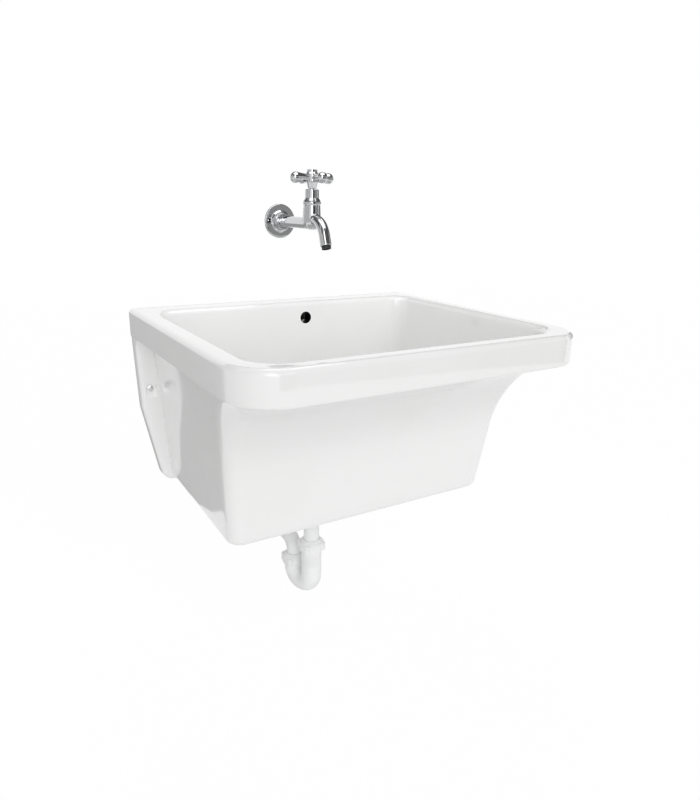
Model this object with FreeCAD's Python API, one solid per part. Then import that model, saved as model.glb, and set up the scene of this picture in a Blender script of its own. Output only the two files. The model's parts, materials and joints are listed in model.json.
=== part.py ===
import FreeCAD, Part
import math
import os

from FreeCAD import Vector

# Wall-hung laundry sink with its plastic waste and trap and the wall tap above it.
# The wall is the plane Y = 0 and the user stands at -Y, with X to the user's right and Z up.
# The origin is the point on the wall midway between the two fixing holes. Millimetres throughout.

# ---- basin ---------------------------------------------------------------------------------
WIDTH = 600.0              # rim, left to right
DEPTH = 524.5              # wall to the rim's front face
HEIGHT = 330.0             # rim top to the underside of the body
FIXING_DROP = 147.0        # rim top down to the fixing holes
RIM_HEIGHT = 51.0          # visible band of the rim
RIM_CORNER = 72.0          # plan radius of the rim's front corners
RIM_TOP_ROUND = 9.0        # rounding of the rim's upper outer edge
RIM_LOW_ROUND = 4.0        # rounding of the rim's lower outer edge
RIM_SIDE = 35.0            # width of the rim's top at the sides
RIM_FRONT = 34.0           # width of the rim's top at the front
RIM_BACK = 50.0            # width of the ledge against the wall
MOUTH_ROUND = 10.0         # rounding from the rim's top into the bowl

BASE_SIDE_INSET = 46.4     # rim side to body side at the underside
BASE_FRONT_INSET = 178.0   # rim front to body front at the underside
SIDE_SLOPE = 0.08          # how fast the body's sides lean out, per mm of height
FRONT_SLOPE = 0.139        # how fast the body's front leans out, per mm of height
BACK_TAPER = 8.0           # the body is this much narrower on each side at the wall
COVE_HEIGHT = 146.0        # height of the cove that sweeps out to the rim
COVE_LIP = 5.0             # the cove ends this far inside the rim's face
COVE_STEPS = 8             # sections that the cove is lofted through
BODY_CORNER = 22.0         # plan radius of the body's front corners
BASE_ROUND = 14.0          # rounding of the body's lower edges
ROUND_STEPS = 4            # sections through each rounded edge

BOWL_FLOOR = 26.0          # thickness of the bowl's floor
BOWL_WALL = 22.0           # wall behind the bowl's sloping front
BOWL_SIDE_DRAFT = 0.08     # lean of the bowl's sides, per mm of depth
BOWL_BACK_DRAFT = 0.03     # lean of the bowl's back, per mm of depth
BOWL_ROUND = 32.0          # rounding between the bowl's walls and floor
BOWL_FRONT_CORNER = 58.0   # plan radius of the bowl's front corners
BOWL_BACK_CORNER = 34.0    # plan radius of the bowl's corners at the back
BOWL_STEPS = 9             # sections through the bowl's walls
BLEND_POWER = 7            # how tightly the bowl's front turns from rim to slope
FALL = 3.0                 # fall of the floor to the drain
FALL_RADIUS = 46.0         # reach of the dished floor round the drain

PLATE_THICKNESS = 25.0     # wall plate that spreads to both sides of the body
PLATE_HEAD_INSET = 0.5     # the plate's head is this much narrower than the rim on each side
PLATE_KNEE_INSET = 6.5     # and its knees by this much
PLATE_KNEE = 183.0         # rim top down to where the plate's edges start to lean in
PLATE_FOOT_INSET = 38.0    # and its foot by this much
PLATE_FOOT_DROP = 6.0      # the plate's foot reaches this far below the body
PLATE_FOOT_ROUND = 26.0    # rounding of the plate's lower corners
PLATE_KNEE_ROUND = 40.0    # rounding of the knees
PLATE_EDGE_ROUND = 8.0     # rounding of the plate's front edges
GUSSET_RADIUS = 24.0       # hollow rounding between the plate's face and the rim's underside
GUSSET_EDGE_ROUND = 6.0    # rounding of its outer edge
GUSSET_INSET = 2.0         # rim's side to its outer face
GUSSET_WIDTH = 50.0        # from the plate's edge into the body

FIXING_INSET = 24.0        # side of the rim to each fixing hole
FIXING_RADIUS = 5.5        # each fixing hole
FIXING_RECESS = 10.0       # radius of the arched recess round each hole
FIXING_RECESS_DEPTH = 8.0  # depth at the arch's crown
FIXING_RECESS_RUNOUT = 16.0  # hole's centre down to where the recess runs out to the face

BACK_HOLLOW_DEPTH = 32.0   # two hollows that lighten the back
BACK_HOLLOW_TOP = 62.0     # rim top down to the hollows
BACK_HOLLOW_SILL = 33.0    # underside of the body up to the hollows
BACK_HOLLOW_INSET = 72.0   # side of the rim to the hollows
BACK_HOLLOW_ROUND = 30.0
DUCT_WEB = 44.0            # solid web between the hollows, round the overflow duct

OVERFLOW_X = 31.5          # the overflow sits to the right of the centre line
OVERFLOW_DROP = 31.5       # rim top down to the overflow's centre
OVERFLOW_RADIUS = 11.5
DUCT_RADIUS = 9.0          # overflow duct inside the back
DUCT_BEHIND = 26.0         # wall to the duct's axis
CHANNEL_RADIUS = 6.5       # the duct's run under the floor to the drain
CHANNEL_RISE = 13.0        # underside of the body to the channel's axis

# ---- waste ---------------------------------------------------------------------------------
DRAIN_Y = 138.0            # wall to the drain's axis
DRAIN_RADIUS = 23.0        # hole through the floor
SEAT_RADIUS = 33.0         # seat round the hole for the strainer
SEAT_DEPTH = 3.5
GAP = 0.3                  # between round parts that are assembled into each other
STRAINER_RADIUS = 31.5
STRAINER_THICKNESS = 1.5
STRAINER_DISH = 4.0        # depth of the strainer's middle below its rim
STRAINER_FLAT = 19.0       # radius of the strainer's sunk middle
SLOT_RADIUS = 2.6          # holes of the strainer
SLOT_RINGS = ((8.5, 6), (14.5, 12))  # ring radius and number of holes
GASKET = 1.5               # thickness of the flat rubber rings
SCREW_HEAD_RADIUS = 5.0
SCREW_HEAD = 2.5
SCREW_RADIUS = 3.0
SCREW_BITE = 14.0          # length of screw held in the waste's hub
SCREW_SLOT = 1.2
WASTE_FLANGE_RADIUS = 33.0
WASTE_FLANGE = 4.0
WASTE_THROAT_WALL = 2.5
WASTE_FUNNEL = 20.0        # height of the funnel under the flange
WASTE_NECK = 24.0          # height of the neck that the tailpiece hangs in
HUB_RADIUS = 6.0
SPOKE = 3.0                # thickness of the spokes that carry the hub
SPOKE_HEIGHT = 12.0
SPOKES = 3

PIPE_RADIUS = 16.0         # tailpiece and trap arm outside
PIPE_WALL = 2.0
SOCKET_RADIUS = 21.0       # outside of the bend and of the waste's neck
SOCKET_WALL = 3.0
NUT_WALL = 4.2             # from a socket's outside to its nut's outside
NUT_HEIGHT = 22.5
NUT_LIP = 6.0
NUT_SHOULDER = 6.5         # bevel round a nut's closed end
NUT_WING = 3.0             # how far a nut's wings stand out
NUT_WING_WIDTH = 9.0
NUT_WINGS = 4
WASHER_HEIGHT = 4.0
PIPE_LIP = 2.0             # flange that hangs the tailpiece in its nut

TAIL_NUT_TO_TRAP_NUT = 105.4  # between the mouths at the tailpiece's two ends
TAIL_IN_SOCKET = 30.0      # length of the tailpiece inside the bend
ARM_IN_SOCKET = 16.0       # length of the arm inside the bend
TRAP_SPACING = 54.2        # between the bend's two legs
TRAP_SWIVEL = 14.0         # degrees that the bend is turned about the tailpiece
LONG_LEG = 73.6            # bend's centre up to the inlet's mouth
SHORT_LEG = 20.1           # bend's centre up to the outlet's mouth
ARM_ELBOW = 28.0           # centre line radius of the trap arm's elbow
ARM_RISE = 39.0            # outlet's mouth up to the arm's axis
ARM_PAST_WALL = 6.0        # full pipe inside the wall
SPIGOT_RADIUS = 15.5       # turned-down end that goes into the drain's seal
SPIGOT_LENGTH = 40.0
ROSETTE_RADIUS = 29.0
ROSETTE_THICKNESS = 3.0
ROSETTE_COLLAR = 9.0

# ---- tap -----------------------------------------------------------------------------------
TAP_RISE = 151.8           # rim top up to the tap's arm
TAP_REACH = 133.5          # wall to the valve's axis
INLET_RADIUS = 10.48       # half inch pipe thread
INLET_LENGTH = 15.0        # thread inside the wall
RELIEF_RADIUS = 9.4        # groove between the thread and the arm
RELIEF_LENGTH = 3.0
TAP_ARM_RADIUS = 10.5
TAP_BORE = 6.0
BARREL_RADIUS = 16.6       # widest part of the barrel
BARREL_TOP_RADIUS = 15.1   # just below the collar
BARREL_DOWN = 10.6         # arm's axis down to the barrel's rounded foot
COLLAR_RADIUS = 16.2
COLLAR_HEIGHT = 5.0
COLLAR_UP = 33.0           # arm's axis up to the collar
CHAMBER_RADIUS = 11.0
SEAT_UP = 9.0              # arm's axis up to the valve seat
SEAT_RING = 1.5            # height of the raised seat
SEAT_WALL = 2.0
SEAT_HOLE = 5.0
SPOUT_UP = 6.2             # arm's axis up to where the spout leaves the barrel
SPOUT_STRAIGHT = 12.2      # valve's axis to the start of the spout's bend
SPOUT_BEND = 36.0          # centre line radius of the spout
SPOUT_TURN = 71.0          # degrees that the spout turns down
SPOUT_RADIUS = 10.1
SPOUT_TIP = 18.5           # straight end of the spout
INSERT_RADIUS = 8.6
INSERT_WALL = 2.0
INSERT_DEEP = 7.0          # length of the insert inside the spout
INSERT_PROUD = 5.2

ESCUTCHEON_RADIUS = 32.0
ESCUTCHEON_EDGE = 3.5
ESCUTCHEON_HEIGHT = 9.0
ESCUTCHEON_WALL = 1.6
FERRULE_RADIUS = 15.5      # stepped ring where the arm leaves the escutcheon
FERRULE_LENGTH = 11.0

BONNET_GASKET = 1.0
BONNET_FOOT_RADIUS = 15.6
BONNET_CONE = 4.5          # height of the bonnet's conical foot
BONNET_RADIUS = 12.5
BONNET_HEIGHT = 19.0
BONNET_ROUND = 1.2
BONNET_THREAD = 12.0       # depth inside the barrel
RUNNING = 0.08             # radial clearance of turning and sliding stems
STEM_RADIUS = 6.0          # threaded part of the spindle
STEM_SPARE = 1.0           # open stem's top to the bonnet's web
VALVE_TRAVEL = 5.0         # how far the valve and the spindle rise
NECK_RADIUS = 4.0          # upper part of the spindle
GLAND_RADIUS = 6.6         # gland nut's thread
PACKING_HEIGHT = 4.0
GLAND_DEEP = 3.5
GLAND_HEAD = 3.0
GLAND_FLATS = 15.0
GLAND_WELL = 9.4           # recess in the bonnet's top that hides the gland nut
BONNET_WEB = 2.5           # bonnet between the stem's thread and the packing

DISC_RADIUS = 7.6          # valve disc
DISC_THICKNESS = 2.5
DISC_PIN_RADIUS = 2.5
DISC_PIN = 14.0
TAIL_RADIUS = 1.5          # threaded tail that holds the washer
VALVE_WASHER = 4.0
VALVE_WASHER_RADIUS = 7.2
WASHER_NUT_RADIUS = 3.6
WASHER_NUT = 2.5
AXIAL_PLAY = 0.1

HANDLE_LIFT = 1.0          # gland nut's top to the handle's skirt
SKIRT_RADIUS = 7.4
SKIRT_HEIGHT = 10.5
SHOULDER_RADIUS = 10.2
HANDLE_HUB_RADIUS = 11.6
HANDLE_HUB_HEIGHT = 14.5
HANDLE_HUB_BEVEL = 2.0
ARM_REACH = 33.5           # hub's axis to the middle of each ball
HANDLE_ARM_ROOT = 5.6
BALL_RADIUS = 9.4
HANDLE_ARMS = 4
HANDLE_REST = 3.0          # degrees that the handle is turned when the tap is shut
SQUARE = 5.6               # square on the spindle's end
SQUARE_HEIGHT = 13.0
HANDLE_WEB = 3.0           # above the square, under the screw's head
HANDLE_BORE = 7.5          # well that holds the screw's head and the cap's plug
CAP_RADIUS = 11.2
CAP_TOP_RADIUS = 9.4
CAP_BEVEL = 2.5
CAP_HEIGHT = 6.5
CAP_PLUG = 2.5
HANDLE_SCREW_RADIUS = 1.5
HANDLE_SCREW_HEAD_RADIUS = 3.5
HANDLE_SCREW_HEAD = 2.4
HANDLE_SCREW_LENGTH = 12.0

# ---- levels worked out from the sizes ------------------------------------------------------
TOP = FIXING_DROP
UNDERSIDE = TOP - HEIGHT
RIM_UNDER = TOP - RIM_HEIGHT
COVE_START = RIM_UNDER - COVE_HEIGHT
FLOOR = UNDERSIDE + BOWL_FLOOR
ARM_Z = TOP + TAP_RISE
OVER = 5.0                 # how far cutting shapes run past a surface

UP = Vector(0, 0, 1)
TO_WALL = Vector(0, 1, 0)
TO_USER = Vector(0, -1, 0)


# ---- shapes used everywhere ----------------------------------------------------------------
def rounded_wire(corners, radii):
    """Closed outline through the corners, each rounded by its own radius."""
    starts, middles, ends = [], [], []
    for i, corner in enumerate(corners):
        before = (corners[i - 1] - corner).normalize()
        after = (corners[(i + 1) % len(corners)] - corner).normalize()
        half_angle = before.getAngle(after) / 2
        bisector = (before + after).normalize()
        reach = radii[i] / math.tan(half_angle)
        starts.append(corner + before * reach)
        ends.append(corner + after * reach)
        middles.append(corner + bisector * (radii[i] / math.sin(half_angle) - radii[i]))
    edges = []
    for i in range(len(corners)):
        edges.append(Part.Arc(starts[i], middles[i], ends[i]).toShape())
        edges.append(Part.LineSegment(ends[i], starts[(i + 1) % len(corners)]).toShape())
    return Part.Wire(edges)


def rod(radius, start, end):
    """Solid cylinder from one point to another."""
    return Part.makeCylinder(radius, (end - start).Length, start, end - start)


def tube(outer, inner, start, end):
    """Hollow cylinder from one point to another."""
    along = (end - start).normalize()
    return rod(outer, start, end).cut(rod(inner, start - along, end + along))


def turned(profile, centre, axis=UP):
    """Solid of revolution from (radius, height) points about an axis through centre."""
    points = [Vector(radius, 0, height) for radius, height in profile]
    solid = Part.Face(Part.makePolygon(points + points[:1])).revolve(Vector(), UP, 360)
    solid.Placement = FreeCAD.Placement(centre, FreeCAD.Rotation(UP, axis))
    return solid


def hexagon(flats, height, centre):
    """Hexagonal prism standing on centre, two flats facing the user and the wall."""
    corner = flats / math.sqrt(3)
    points = []
    for i in range(6):
        angle = math.radians(60 * i)
        points.append(centre + Vector(corner * math.cos(angle), corner * math.sin(angle), 0))
    return Part.Face(Part.makePolygon(points + points[:1])).extrude(UP * height)


def bent_rod(radius, start, along, turn_to, bend_radius, degrees):
    """Round bar that starts along one way and bends towards another."""
    centre = start + turn_to * bend_radius
    axis = along.cross(turn_to)
    disc = Part.Face(Part.Wire(Part.makeCircle(radius, start, along)))
    return disc.revolve(centre, axis, degrees)


# ---- basin ---------------------------------------------------------------------------------
def cove_radius(reach):
    """Radius of the arc that rises COVE_HEIGHT while it reaches out by the given length."""
    return (reach ** 2 + COVE_HEIGHT ** 2) / (2 * reach)


def cove_reach(height, inset):
    """How far the cove stands out of the body's wall at a height."""
    radius = cove_radius(inset - COVE_LIP)
    climb = max(0.0, height - COVE_START)
    return radius - math.sqrt(radius ** 2 - climb ** 2)


def edge_round(radius, distance):
    """Inset of a rounded edge at a distance from the face that it runs into."""
    short = max(0.0, radius - distance)
    return radius - math.sqrt(radius ** 2 - short ** 2)


def side_inset(height):
    """Rim side to the body's straight side at a height."""
    return BASE_SIDE_INSET - SIDE_SLOPE * (height - UNDERSIDE)


def front_inset(height):
    """Rim front to the body's front at a height, cove included."""
    wall = BASE_FRONT_INSET - FRONT_SLOPE * (height - UNDERSIDE)
    wall_at_rim = BASE_FRONT_INSET - FRONT_SLOPE * (RIM_UNDER - UNDERSIDE)
    return wall - cove_reach(height, wall_at_rim)


def body_outline(height):
    """Outline of the outside of the body at a height."""
    rounding = edge_round(BASE_ROUND, height - UNDERSIDE)
    climb = max(0.0, height - COVE_START) / COVE_HEIGHT
    corner = BODY_CORNER + (RIM_CORNER - COVE_LIP - BODY_CORNER) * climb ** 3
    back = WIDTH / 2 - side_inset(height) - BACK_TAPER - rounding
    front = WIDTH / 2 - side_inset(height) + cove_reach(height, side_inset(RIM_UNDER)) - rounding
    depth = DEPTH - front_inset(height) - rounding
    points = (Vector(-back, 0, height), Vector(-front, -depth, height),
              Vector(front, -depth, height), Vector(back, 0, height))
    return rounded_wire(points, (1.0, corner, corner, 1.0))


def edge_heights(low, high, radius, at_low):
    """Heights of the sections through an edge rounded at the low or the high end."""
    heights = []
    for i in range(ROUND_STEPS):
        height = radius * (1 - math.cos(math.pi / 2 * i / ROUND_STEPS))
        heights.append(low + height if at_low else high - height)
    return heights


def make_body():
    """Outside of the basin below the rim, sweeping out to it in a cove."""
    heights = edge_heights(UNDERSIDE, RIM_UNDER, BASE_ROUND, True)
    heights.append(UNDERSIDE + BASE_ROUND)
    heights.append((UNDERSIDE + BASE_ROUND + COVE_START) / 2)
    for i in range(COVE_STEPS + 1):
        heights.append(COVE_START + COVE_HEIGHT * i / COVE_STEPS)
    return Part.makeLoft([body_outline(height) for height in heights], True, False)


def make_rim():
    """Deep flat band round the top, cut flush with the wall."""
    half = WIDTH / 2
    behind = RIM_TOP_ROUND + 2 * OVER
    points = (Vector(-half, behind, RIM_UNDER), Vector(-half, -DEPTH, RIM_UNDER),
              Vector(half, -DEPTH, RIM_UNDER), Vector(half, behind, RIM_UNDER))
    outline = rounded_wire(points, (behind - OVER, RIM_CORNER, RIM_CORNER, behind - OVER))
    band = Part.Face(outline).extrude(UP * RIM_HEIGHT)
    top_edges = [edge for edge in band.Edges if edge.BoundBox.ZMin > TOP - 1]
    band = band.makeFillet(RIM_TOP_ROUND, top_edges)
    low_edges = [edge for edge in band.Edges if edge.BoundBox.ZMax < RIM_UNDER + 1]
    band = band.makeFillet(RIM_LOW_ROUND, low_edges)
    past_wall = Part.makeBox(WIDTH + 2 * OVER, 2 * behind, RIM_HEIGHT + 2 * OVER,
                             Vector(-half - OVER, 0, RIM_UNDER - OVER))
    return band.cut(past_wall)


def make_plate():
    """Wall plate, almost as wide as the rim above its knees and leaning in below them."""
    head, knee, foot = TOP - RIM_HEIGHT / 2, TOP - PLATE_KNEE, UNDERSIDE - PLATE_FOOT_DROP
    head_x, knee_x = WIDTH / 2 - PLATE_HEAD_INSET, WIDTH / 2 - PLATE_KNEE_INSET
    foot_x = WIDTH / 2 - PLATE_FOOT_INSET
    points = (Vector(-head_x, 0, head), Vector(-knee_x, 0, knee), Vector(-foot_x, 0, foot),
              Vector(foot_x, 0, foot), Vector(knee_x, 0, knee), Vector(head_x, 0, head))
    radii = (1.0, PLATE_KNEE_ROUND, PLATE_FOOT_ROUND, PLATE_FOOT_ROUND, PLATE_KNEE_ROUND, 1.0)
    plate = Part.Face(rounded_wire(points, radii)).extrude(TO_USER * PLATE_THICKNESS)
    front_edges = [edge for edge in plate.Edges if edge.BoundBox.YMax < 1 - PLATE_THICKNESS]
    return plate.makeFillet(PLATE_EDGE_ROUND, front_edges)


def make_gusset(side):
    """Hollow rounding between the plate's face and the rim's underside at one side."""
    face, radius = -PLATE_THICKNESS, GUSSET_RADIUS
    centre = Vector(side * (WIDTH / 2 - GUSSET_INSET), face - radius, RIM_UNDER - radius)
    start, end = centre + UP * radius, centre + TO_WALL * radius
    middle = centre + (UP + TO_WALL).normalize() * radius
    edges = [Part.Arc(start, middle, end).toShape()]
    corners = (end, end + TO_WALL * OVER, end + TO_WALL * OVER + UP * (radius + OVER),
               start + UP * OVER, start)
    for low, high in zip(corners, corners[1:]):
        edges.append(Part.LineSegment(low, high).toShape())
    solid = Part.Face(Part.Wire(edges)).extrude(Vector(-side * GUSSET_WIDTH, 0, 0))
    rim_edges = [edge for edge in solid.Edges
                 if edge.BoundBox.XLength < 1 and edge.CenterOfMass.distanceToPoint(middle) < radius / 2]
    return solid.makeFillet(GUSSET_EDGE_ROUND, rim_edges)


def bowl_outline(height):
    """Outline of the inside of the bowl at a height."""
    depth = TOP - height
    rounding = edge_round(BOWL_ROUND, height - FLOOR) - edge_round(MOUTH_ROUND, depth)
    taper = BACK_TAPER * depth / HEIGHT
    front_half = WIDTH / 2 - RIM_SIDE - BOWL_SIDE_DRAFT * depth - rounding
    slope = front_inset(min(height, RIM_UNDER)) + BOWL_WALL
    inset = (RIM_FRONT ** BLEND_POWER + slope ** BLEND_POWER) ** (1 / BLEND_POWER)
    front = -DEPTH + inset + rounding
    back = -RIM_BACK - BOWL_BACK_DRAFT * depth - rounding
    points = (Vector(-front_half + taper, back, height), Vector(-front_half, front, height),
              Vector(front_half, front, height), Vector(front_half - taper, back, height))
    radii = (BOWL_BACK_CORNER, BOWL_FRONT_CORNER, BOWL_FRONT_CORNER, BOWL_BACK_CORNER)
    return rounded_wire(points, radii)


def make_bowl():
    """Space inside the bowl, with a sloping front and a floor dished to the drain."""
    low, high = FLOOR + BOWL_ROUND, TOP - MOUTH_ROUND
    heights = edge_heights(FLOOR, TOP, BOWL_ROUND, True)
    for i in range(BOWL_STEPS + 1):
        heights.append(low + (high - low) * i / BOWL_STEPS)
    heights += reversed(edge_heights(FLOOR, TOP, MOUTH_ROUND, False))
    space = Part.makeLoft([bowl_outline(height) for height in heights], True, False)
    dish = Part.makeCone(SEAT_RADIUS, FALL_RADIUS, FALL, drain_point(FLOOR - FALL), UP)
    return space.fuse(dish)


def drain_point(height):
    """Point on the drain's axis."""
    return Vector(0, -DRAIN_Y, height)


def drain_seat():
    """Height of the seat that the strainer's gasket lies on."""
    return FLOOR - FALL - SEAT_DEPTH


def make_back_hollow(low_x, high_x):
    """One of the two hollows in the back of the basin."""
    low, high = UNDERSIDE + BACK_HOLLOW_SILL, TOP - BACK_HOLLOW_TOP
    points = (Vector(low_x, OVER, low), Vector(high_x, OVER, low),
              Vector(high_x, OVER, high), Vector(low_x, OVER, high))
    face = Part.Face(rounded_wire(points, [BACK_HOLLOW_ROUND] * len(points)))
    return face.extrude(TO_USER * (BACK_HOLLOW_DEPTH + OVER))


def make_fixing(side):
    """Fixing hole through the wall plate, under an arched recess that runs out to the face below."""
    x = side * (WIDTH / 2 - FIXING_INSET)
    face = -PLATE_THICKNESS
    hole = rod(FIXING_RADIUS, Vector(x, OVER, 0), Vector(x, face - OVER, 0))
    crown = Vector(x - FIXING_RECESS, face + FIXING_RECESS_DEPTH, FIXING_RECESS)
    runout = Vector(x - FIXING_RECESS, face, -FIXING_RECESS_RUNOUT)
    outside = Vector(x - FIXING_RECESS, face - OVER, -FIXING_RECESS_RUNOUT)
    over_crown = Vector(x - FIXING_RECESS, face - OVER, FIXING_RECESS)
    wedge = Part.Face(Part.makePolygon([crown, runout, outside, over_crown, crown]))
    wedge = wedge.extrude(Vector(2 * FIXING_RECESS, 0, 0))
    arch = rod(FIXING_RECESS, Vector(x, face - 2 * OVER, 0), Vector(x, 0, 0))
    shaft = Part.makeBox(2 * FIXING_RECESS, PLATE_THICKNESS + 2 * OVER, FIXING_RECESS_RUNOUT,
                         Vector(x - FIXING_RECESS, face - 2 * OVER, -FIXING_RECESS_RUNOUT))
    return hole.fuse(wedge.common(arch.fuse(shaft)))


def make_overflow():
    """Overflow hole, its duct down the back and its channel to the drain."""
    mouth = Vector(OVERFLOW_X, -DUCT_BEHIND, TOP - OVERFLOW_DROP)
    foot = Vector(OVERFLOW_X, -DUCT_BEHIND, UNDERSIDE + CHANNEL_RISE)
    hole = rod(OVERFLOW_RADIUS, mouth, mouth + TO_USER * (2 * RIM_BACK))
    duct = rod(DUCT_RADIUS, foot, mouth)
    channel = rod(CHANNEL_RADIUS, foot, drain_point(foot.z))
    return hole.fuse([duct, channel])


def make_basin():
    """The whole casting: rim, body, wall plate, bowl, overflow, drain and fixings."""
    casting = make_rim().fuse([make_body(), make_plate(), make_gusset(-1), make_gusset(1)])
    drain = rod(DRAIN_RADIUS, drain_point(UNDERSIDE - OVER), drain_point(FLOOR))
    seat = rod(SEAT_RADIUS, drain_point(drain_seat()), drain_point(FLOOR))
    web_low, web_high = OVERFLOW_X - DUCT_WEB / 2, OVERFLOW_X + DUCT_WEB / 2
    hollow_side = WIDTH / 2 - BACK_HOLLOW_INSET
    hollows = [make_back_hollow(-hollow_side, web_low), make_back_hollow(web_high, hollow_side)]
    cuts = [make_bowl(), drain, seat, make_fixing(-1), make_fixing(1), make_overflow()]
    return casting.cut(cuts + hollows)


# ---- waste and trap ------------------------------------------------------------------------
def make_strainer():
    """Dished metal strainer with rings of holes and a sunk middle for its screw."""
    rim = drain_seat() + GASKET
    sunk = rim - STRAINER_DISH
    top = STRAINER_THICKNESS
    profile = ((SCREW_RADIUS + GAP, sunk), (STRAINER_FLAT - top, sunk), (DRAIN_RADIUS - 1, rim),
               (STRAINER_RADIUS, rim), (STRAINER_RADIUS - top, rim + top), (DRAIN_RADIUS - 2, rim + top),
               (STRAINER_FLAT - 2 * top, sunk + top), (SCREW_RADIUS + GAP, sunk + top))
    plate = turned(profile, drain_point(0))
    holes = []
    for ring, count in SLOT_RINGS:
        for i in range(count):
            angle = 2 * math.pi * i / count
            place = drain_point(sunk - OVER) + Vector(ring * math.cos(angle), ring * math.sin(angle), 0)
            holes.append(rod(SLOT_RADIUS, place, place + UP * (2 * OVER)))
    return plate.cut(holes)


def strainer_middle():
    """Height of the top of the strainer's sunk middle."""
    return drain_seat() + GASKET - STRAINER_DISH + STRAINER_THICKNESS


def drain_ring(radius, low, high):
    """Flat rubber ring round the drain hole between two heights."""
    return tube(radius, DRAIN_RADIUS, drain_point(low), drain_point(high))


def make_strainer_screw():
    """Slotted screw that draws the strainer and the waste together."""
    top = strainer_middle() + SCREW_HEAD
    head = rod(SCREW_HEAD_RADIUS, drain_point(strainer_middle()), drain_point(top))
    shank = rod(SCREW_RADIUS, drain_point(hub_top() - SCREW_BITE), drain_point(strainer_middle()))
    slot = Part.makeBox(2 * SCREW_HEAD_RADIUS, SCREW_SLOT, SCREW_SLOT,
                        drain_point(top - SCREW_SLOT) - Vector(SCREW_HEAD_RADIUS, SCREW_SLOT / 2, 0))
    return head.fuse(shank).cut(slot)


def hub_top():
    """Height of the top of the hub that the strainer's screw bites into."""
    return UNDERSIDE + CHANNEL_RISE - CHANNEL_RADIUS - OVER


def flange_top():
    """Top of the waste's flange, one gasket below the basin."""
    return UNDERSIDE - GASKET


def neck_foot():
    """Lower end of the waste's neck."""
    return flange_top() - WASTE_FLANGE - WASTE_FUNNEL - WASTE_NECK


def make_waste_body():
    """Plastic waste: throat, flange, funnel and neck, with a spoked hub for the screw."""
    throat = DRAIN_RADIUS - 2 * GAP
    top = flange_top()
    under = top - WASTE_FLANGE
    funnel = under - WASTE_FUNNEL
    neck = SOCKET_RADIUS
    inside = PIPE_RADIUS - PIPE_WALL
    profile = ((throat - WASTE_THROAT_WALL, hub_top()), (throat, hub_top()), (throat, top),
               (WASTE_FLANGE_RADIUS, top), (WASTE_FLANGE_RADIUS, under),
               (throat + WASTE_THROAT_WALL, under), (neck, funnel), (neck, neck_foot()),
               (inside, neck_foot()), (inside, funnel), (throat - WASTE_THROAT_WALL, under))
    shell = turned(profile, drain_point(0))
    spoke_foot = hub_top() - SPOKE_HEIGHT
    hub = rod(HUB_RADIUS, drain_point(hub_top() - SCREW_BITE - 1), drain_point(hub_top()))
    spokes = []
    for i in range(SPOKES):
        spoke = Part.makeBox(throat - WASTE_THROAT_WALL / 2, SPOKE, SPOKE_HEIGHT,
                             drain_point(spoke_foot) - Vector(0, SPOKE / 2, 0))
        spoke.rotate(drain_point(0), UP, 360 / SPOKES * i)
        spokes.append(spoke)
    screw_hole = rod(SCREW_RADIUS, drain_point(hub_top() - SCREW_BITE), drain_point(hub_top() + OVER))
    return shell.fuse([hub] + spokes).cut(screw_hole)


def nut_blank(way):
    """Winged slip nut about the origin, its closed end towards the given way."""
    outer = SOCKET_RADIUS + NUT_WALL
    lip = WASHER_HEIGHT + NUT_LIP
    foot = lip - NUT_HEIGHT
    thread, grip = SOCKET_RADIUS + GAP, PIPE_RADIUS + GAP
    profile = ((thread, foot), (outer, foot), (outer, lip - NUT_SHOULDER), (outer - NUT_SHOULDER, lip),
               (grip, lip), (grip, WASHER_HEIGHT), (thread, WASHER_HEIGHT))
    nut = turned(profile, Vector(), way)
    wings = []
    for i in range(NUT_WINGS):
        wing = Part.makeBox(NUT_WALL / 2 + NUT_WING, NUT_WING_WIDTH, NUT_HEIGHT - NUT_SHOULDER,
                            Vector(outer - NUT_WALL / 2, -NUT_WING_WIDTH / 2, foot))
        wing.rotate(Vector(), UP, 360 / NUT_WINGS * (i + 0.5))
        wing.Placement = FreeCAD.Placement(Vector(), FreeCAD.Rotation(UP, way)).multiply(wing.Placement)
        wings.append(wing)
    return nut.fuse(wings)


def make_nut(mouth):
    """Slip nut that closes down over a socket's mouth at the given point."""
    nut = nut_blank(UP)
    nut.translate(mouth)
    return nut


def make_washer(mouth):
    """Sealing washer squeezed between a socket's mouth, its nut and the pipe."""
    return tube(SOCKET_RADIUS, PIPE_RADIUS, mouth, mouth + UP * WASHER_HEIGHT)


def tail_mouth():
    """Mouth that the tailpiece's own nut pulls against, pointing down."""
    return drain_point(neck_foot())


def trap_inlet():
    """Mouth of the bend's inlet socket."""
    return drain_point(neck_foot() - TAIL_NUT_TO_TRAP_NUT)


def bend_centre():
    """Start of the bend's arc on the inlet leg."""
    return trap_inlet() - UP * LONG_LEG


def trap_way():
    """Direction from the bend's inlet leg to its outlet leg."""
    angle = math.radians(TRAP_SWIVEL)
    return Vector(-math.sin(angle), math.cos(angle), 0)


def trap_outlet():
    """Mouth of the bend's outlet socket."""
    return bend_centre() + trap_way() * TRAP_SPACING + UP * SHORT_LEG


def make_tailpiece():
    """Straight pipe from the waste to the trap, with a lip that its nut holds."""
    top = tail_mouth() - UP * WASHER_HEIGHT
    foot = trap_inlet() - UP * TAIL_IN_SOCKET
    pipe = tube(PIPE_RADIUS, PIPE_RADIUS - PIPE_WALL, foot, top)
    lip = tube(SOCKET_RADIUS, PIPE_RADIUS - PIPE_WALL, top - UP * PIPE_LIP, top)
    return pipe.fuse(lip)


def make_tail_nut():
    """Nut that holds the tailpiece's lip up to the waste's neck, over the neck's thread."""
    nut = nut_blank(-UP)
    nut.translate(tail_mouth() - UP * PIPE_LIP)
    return nut


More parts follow.
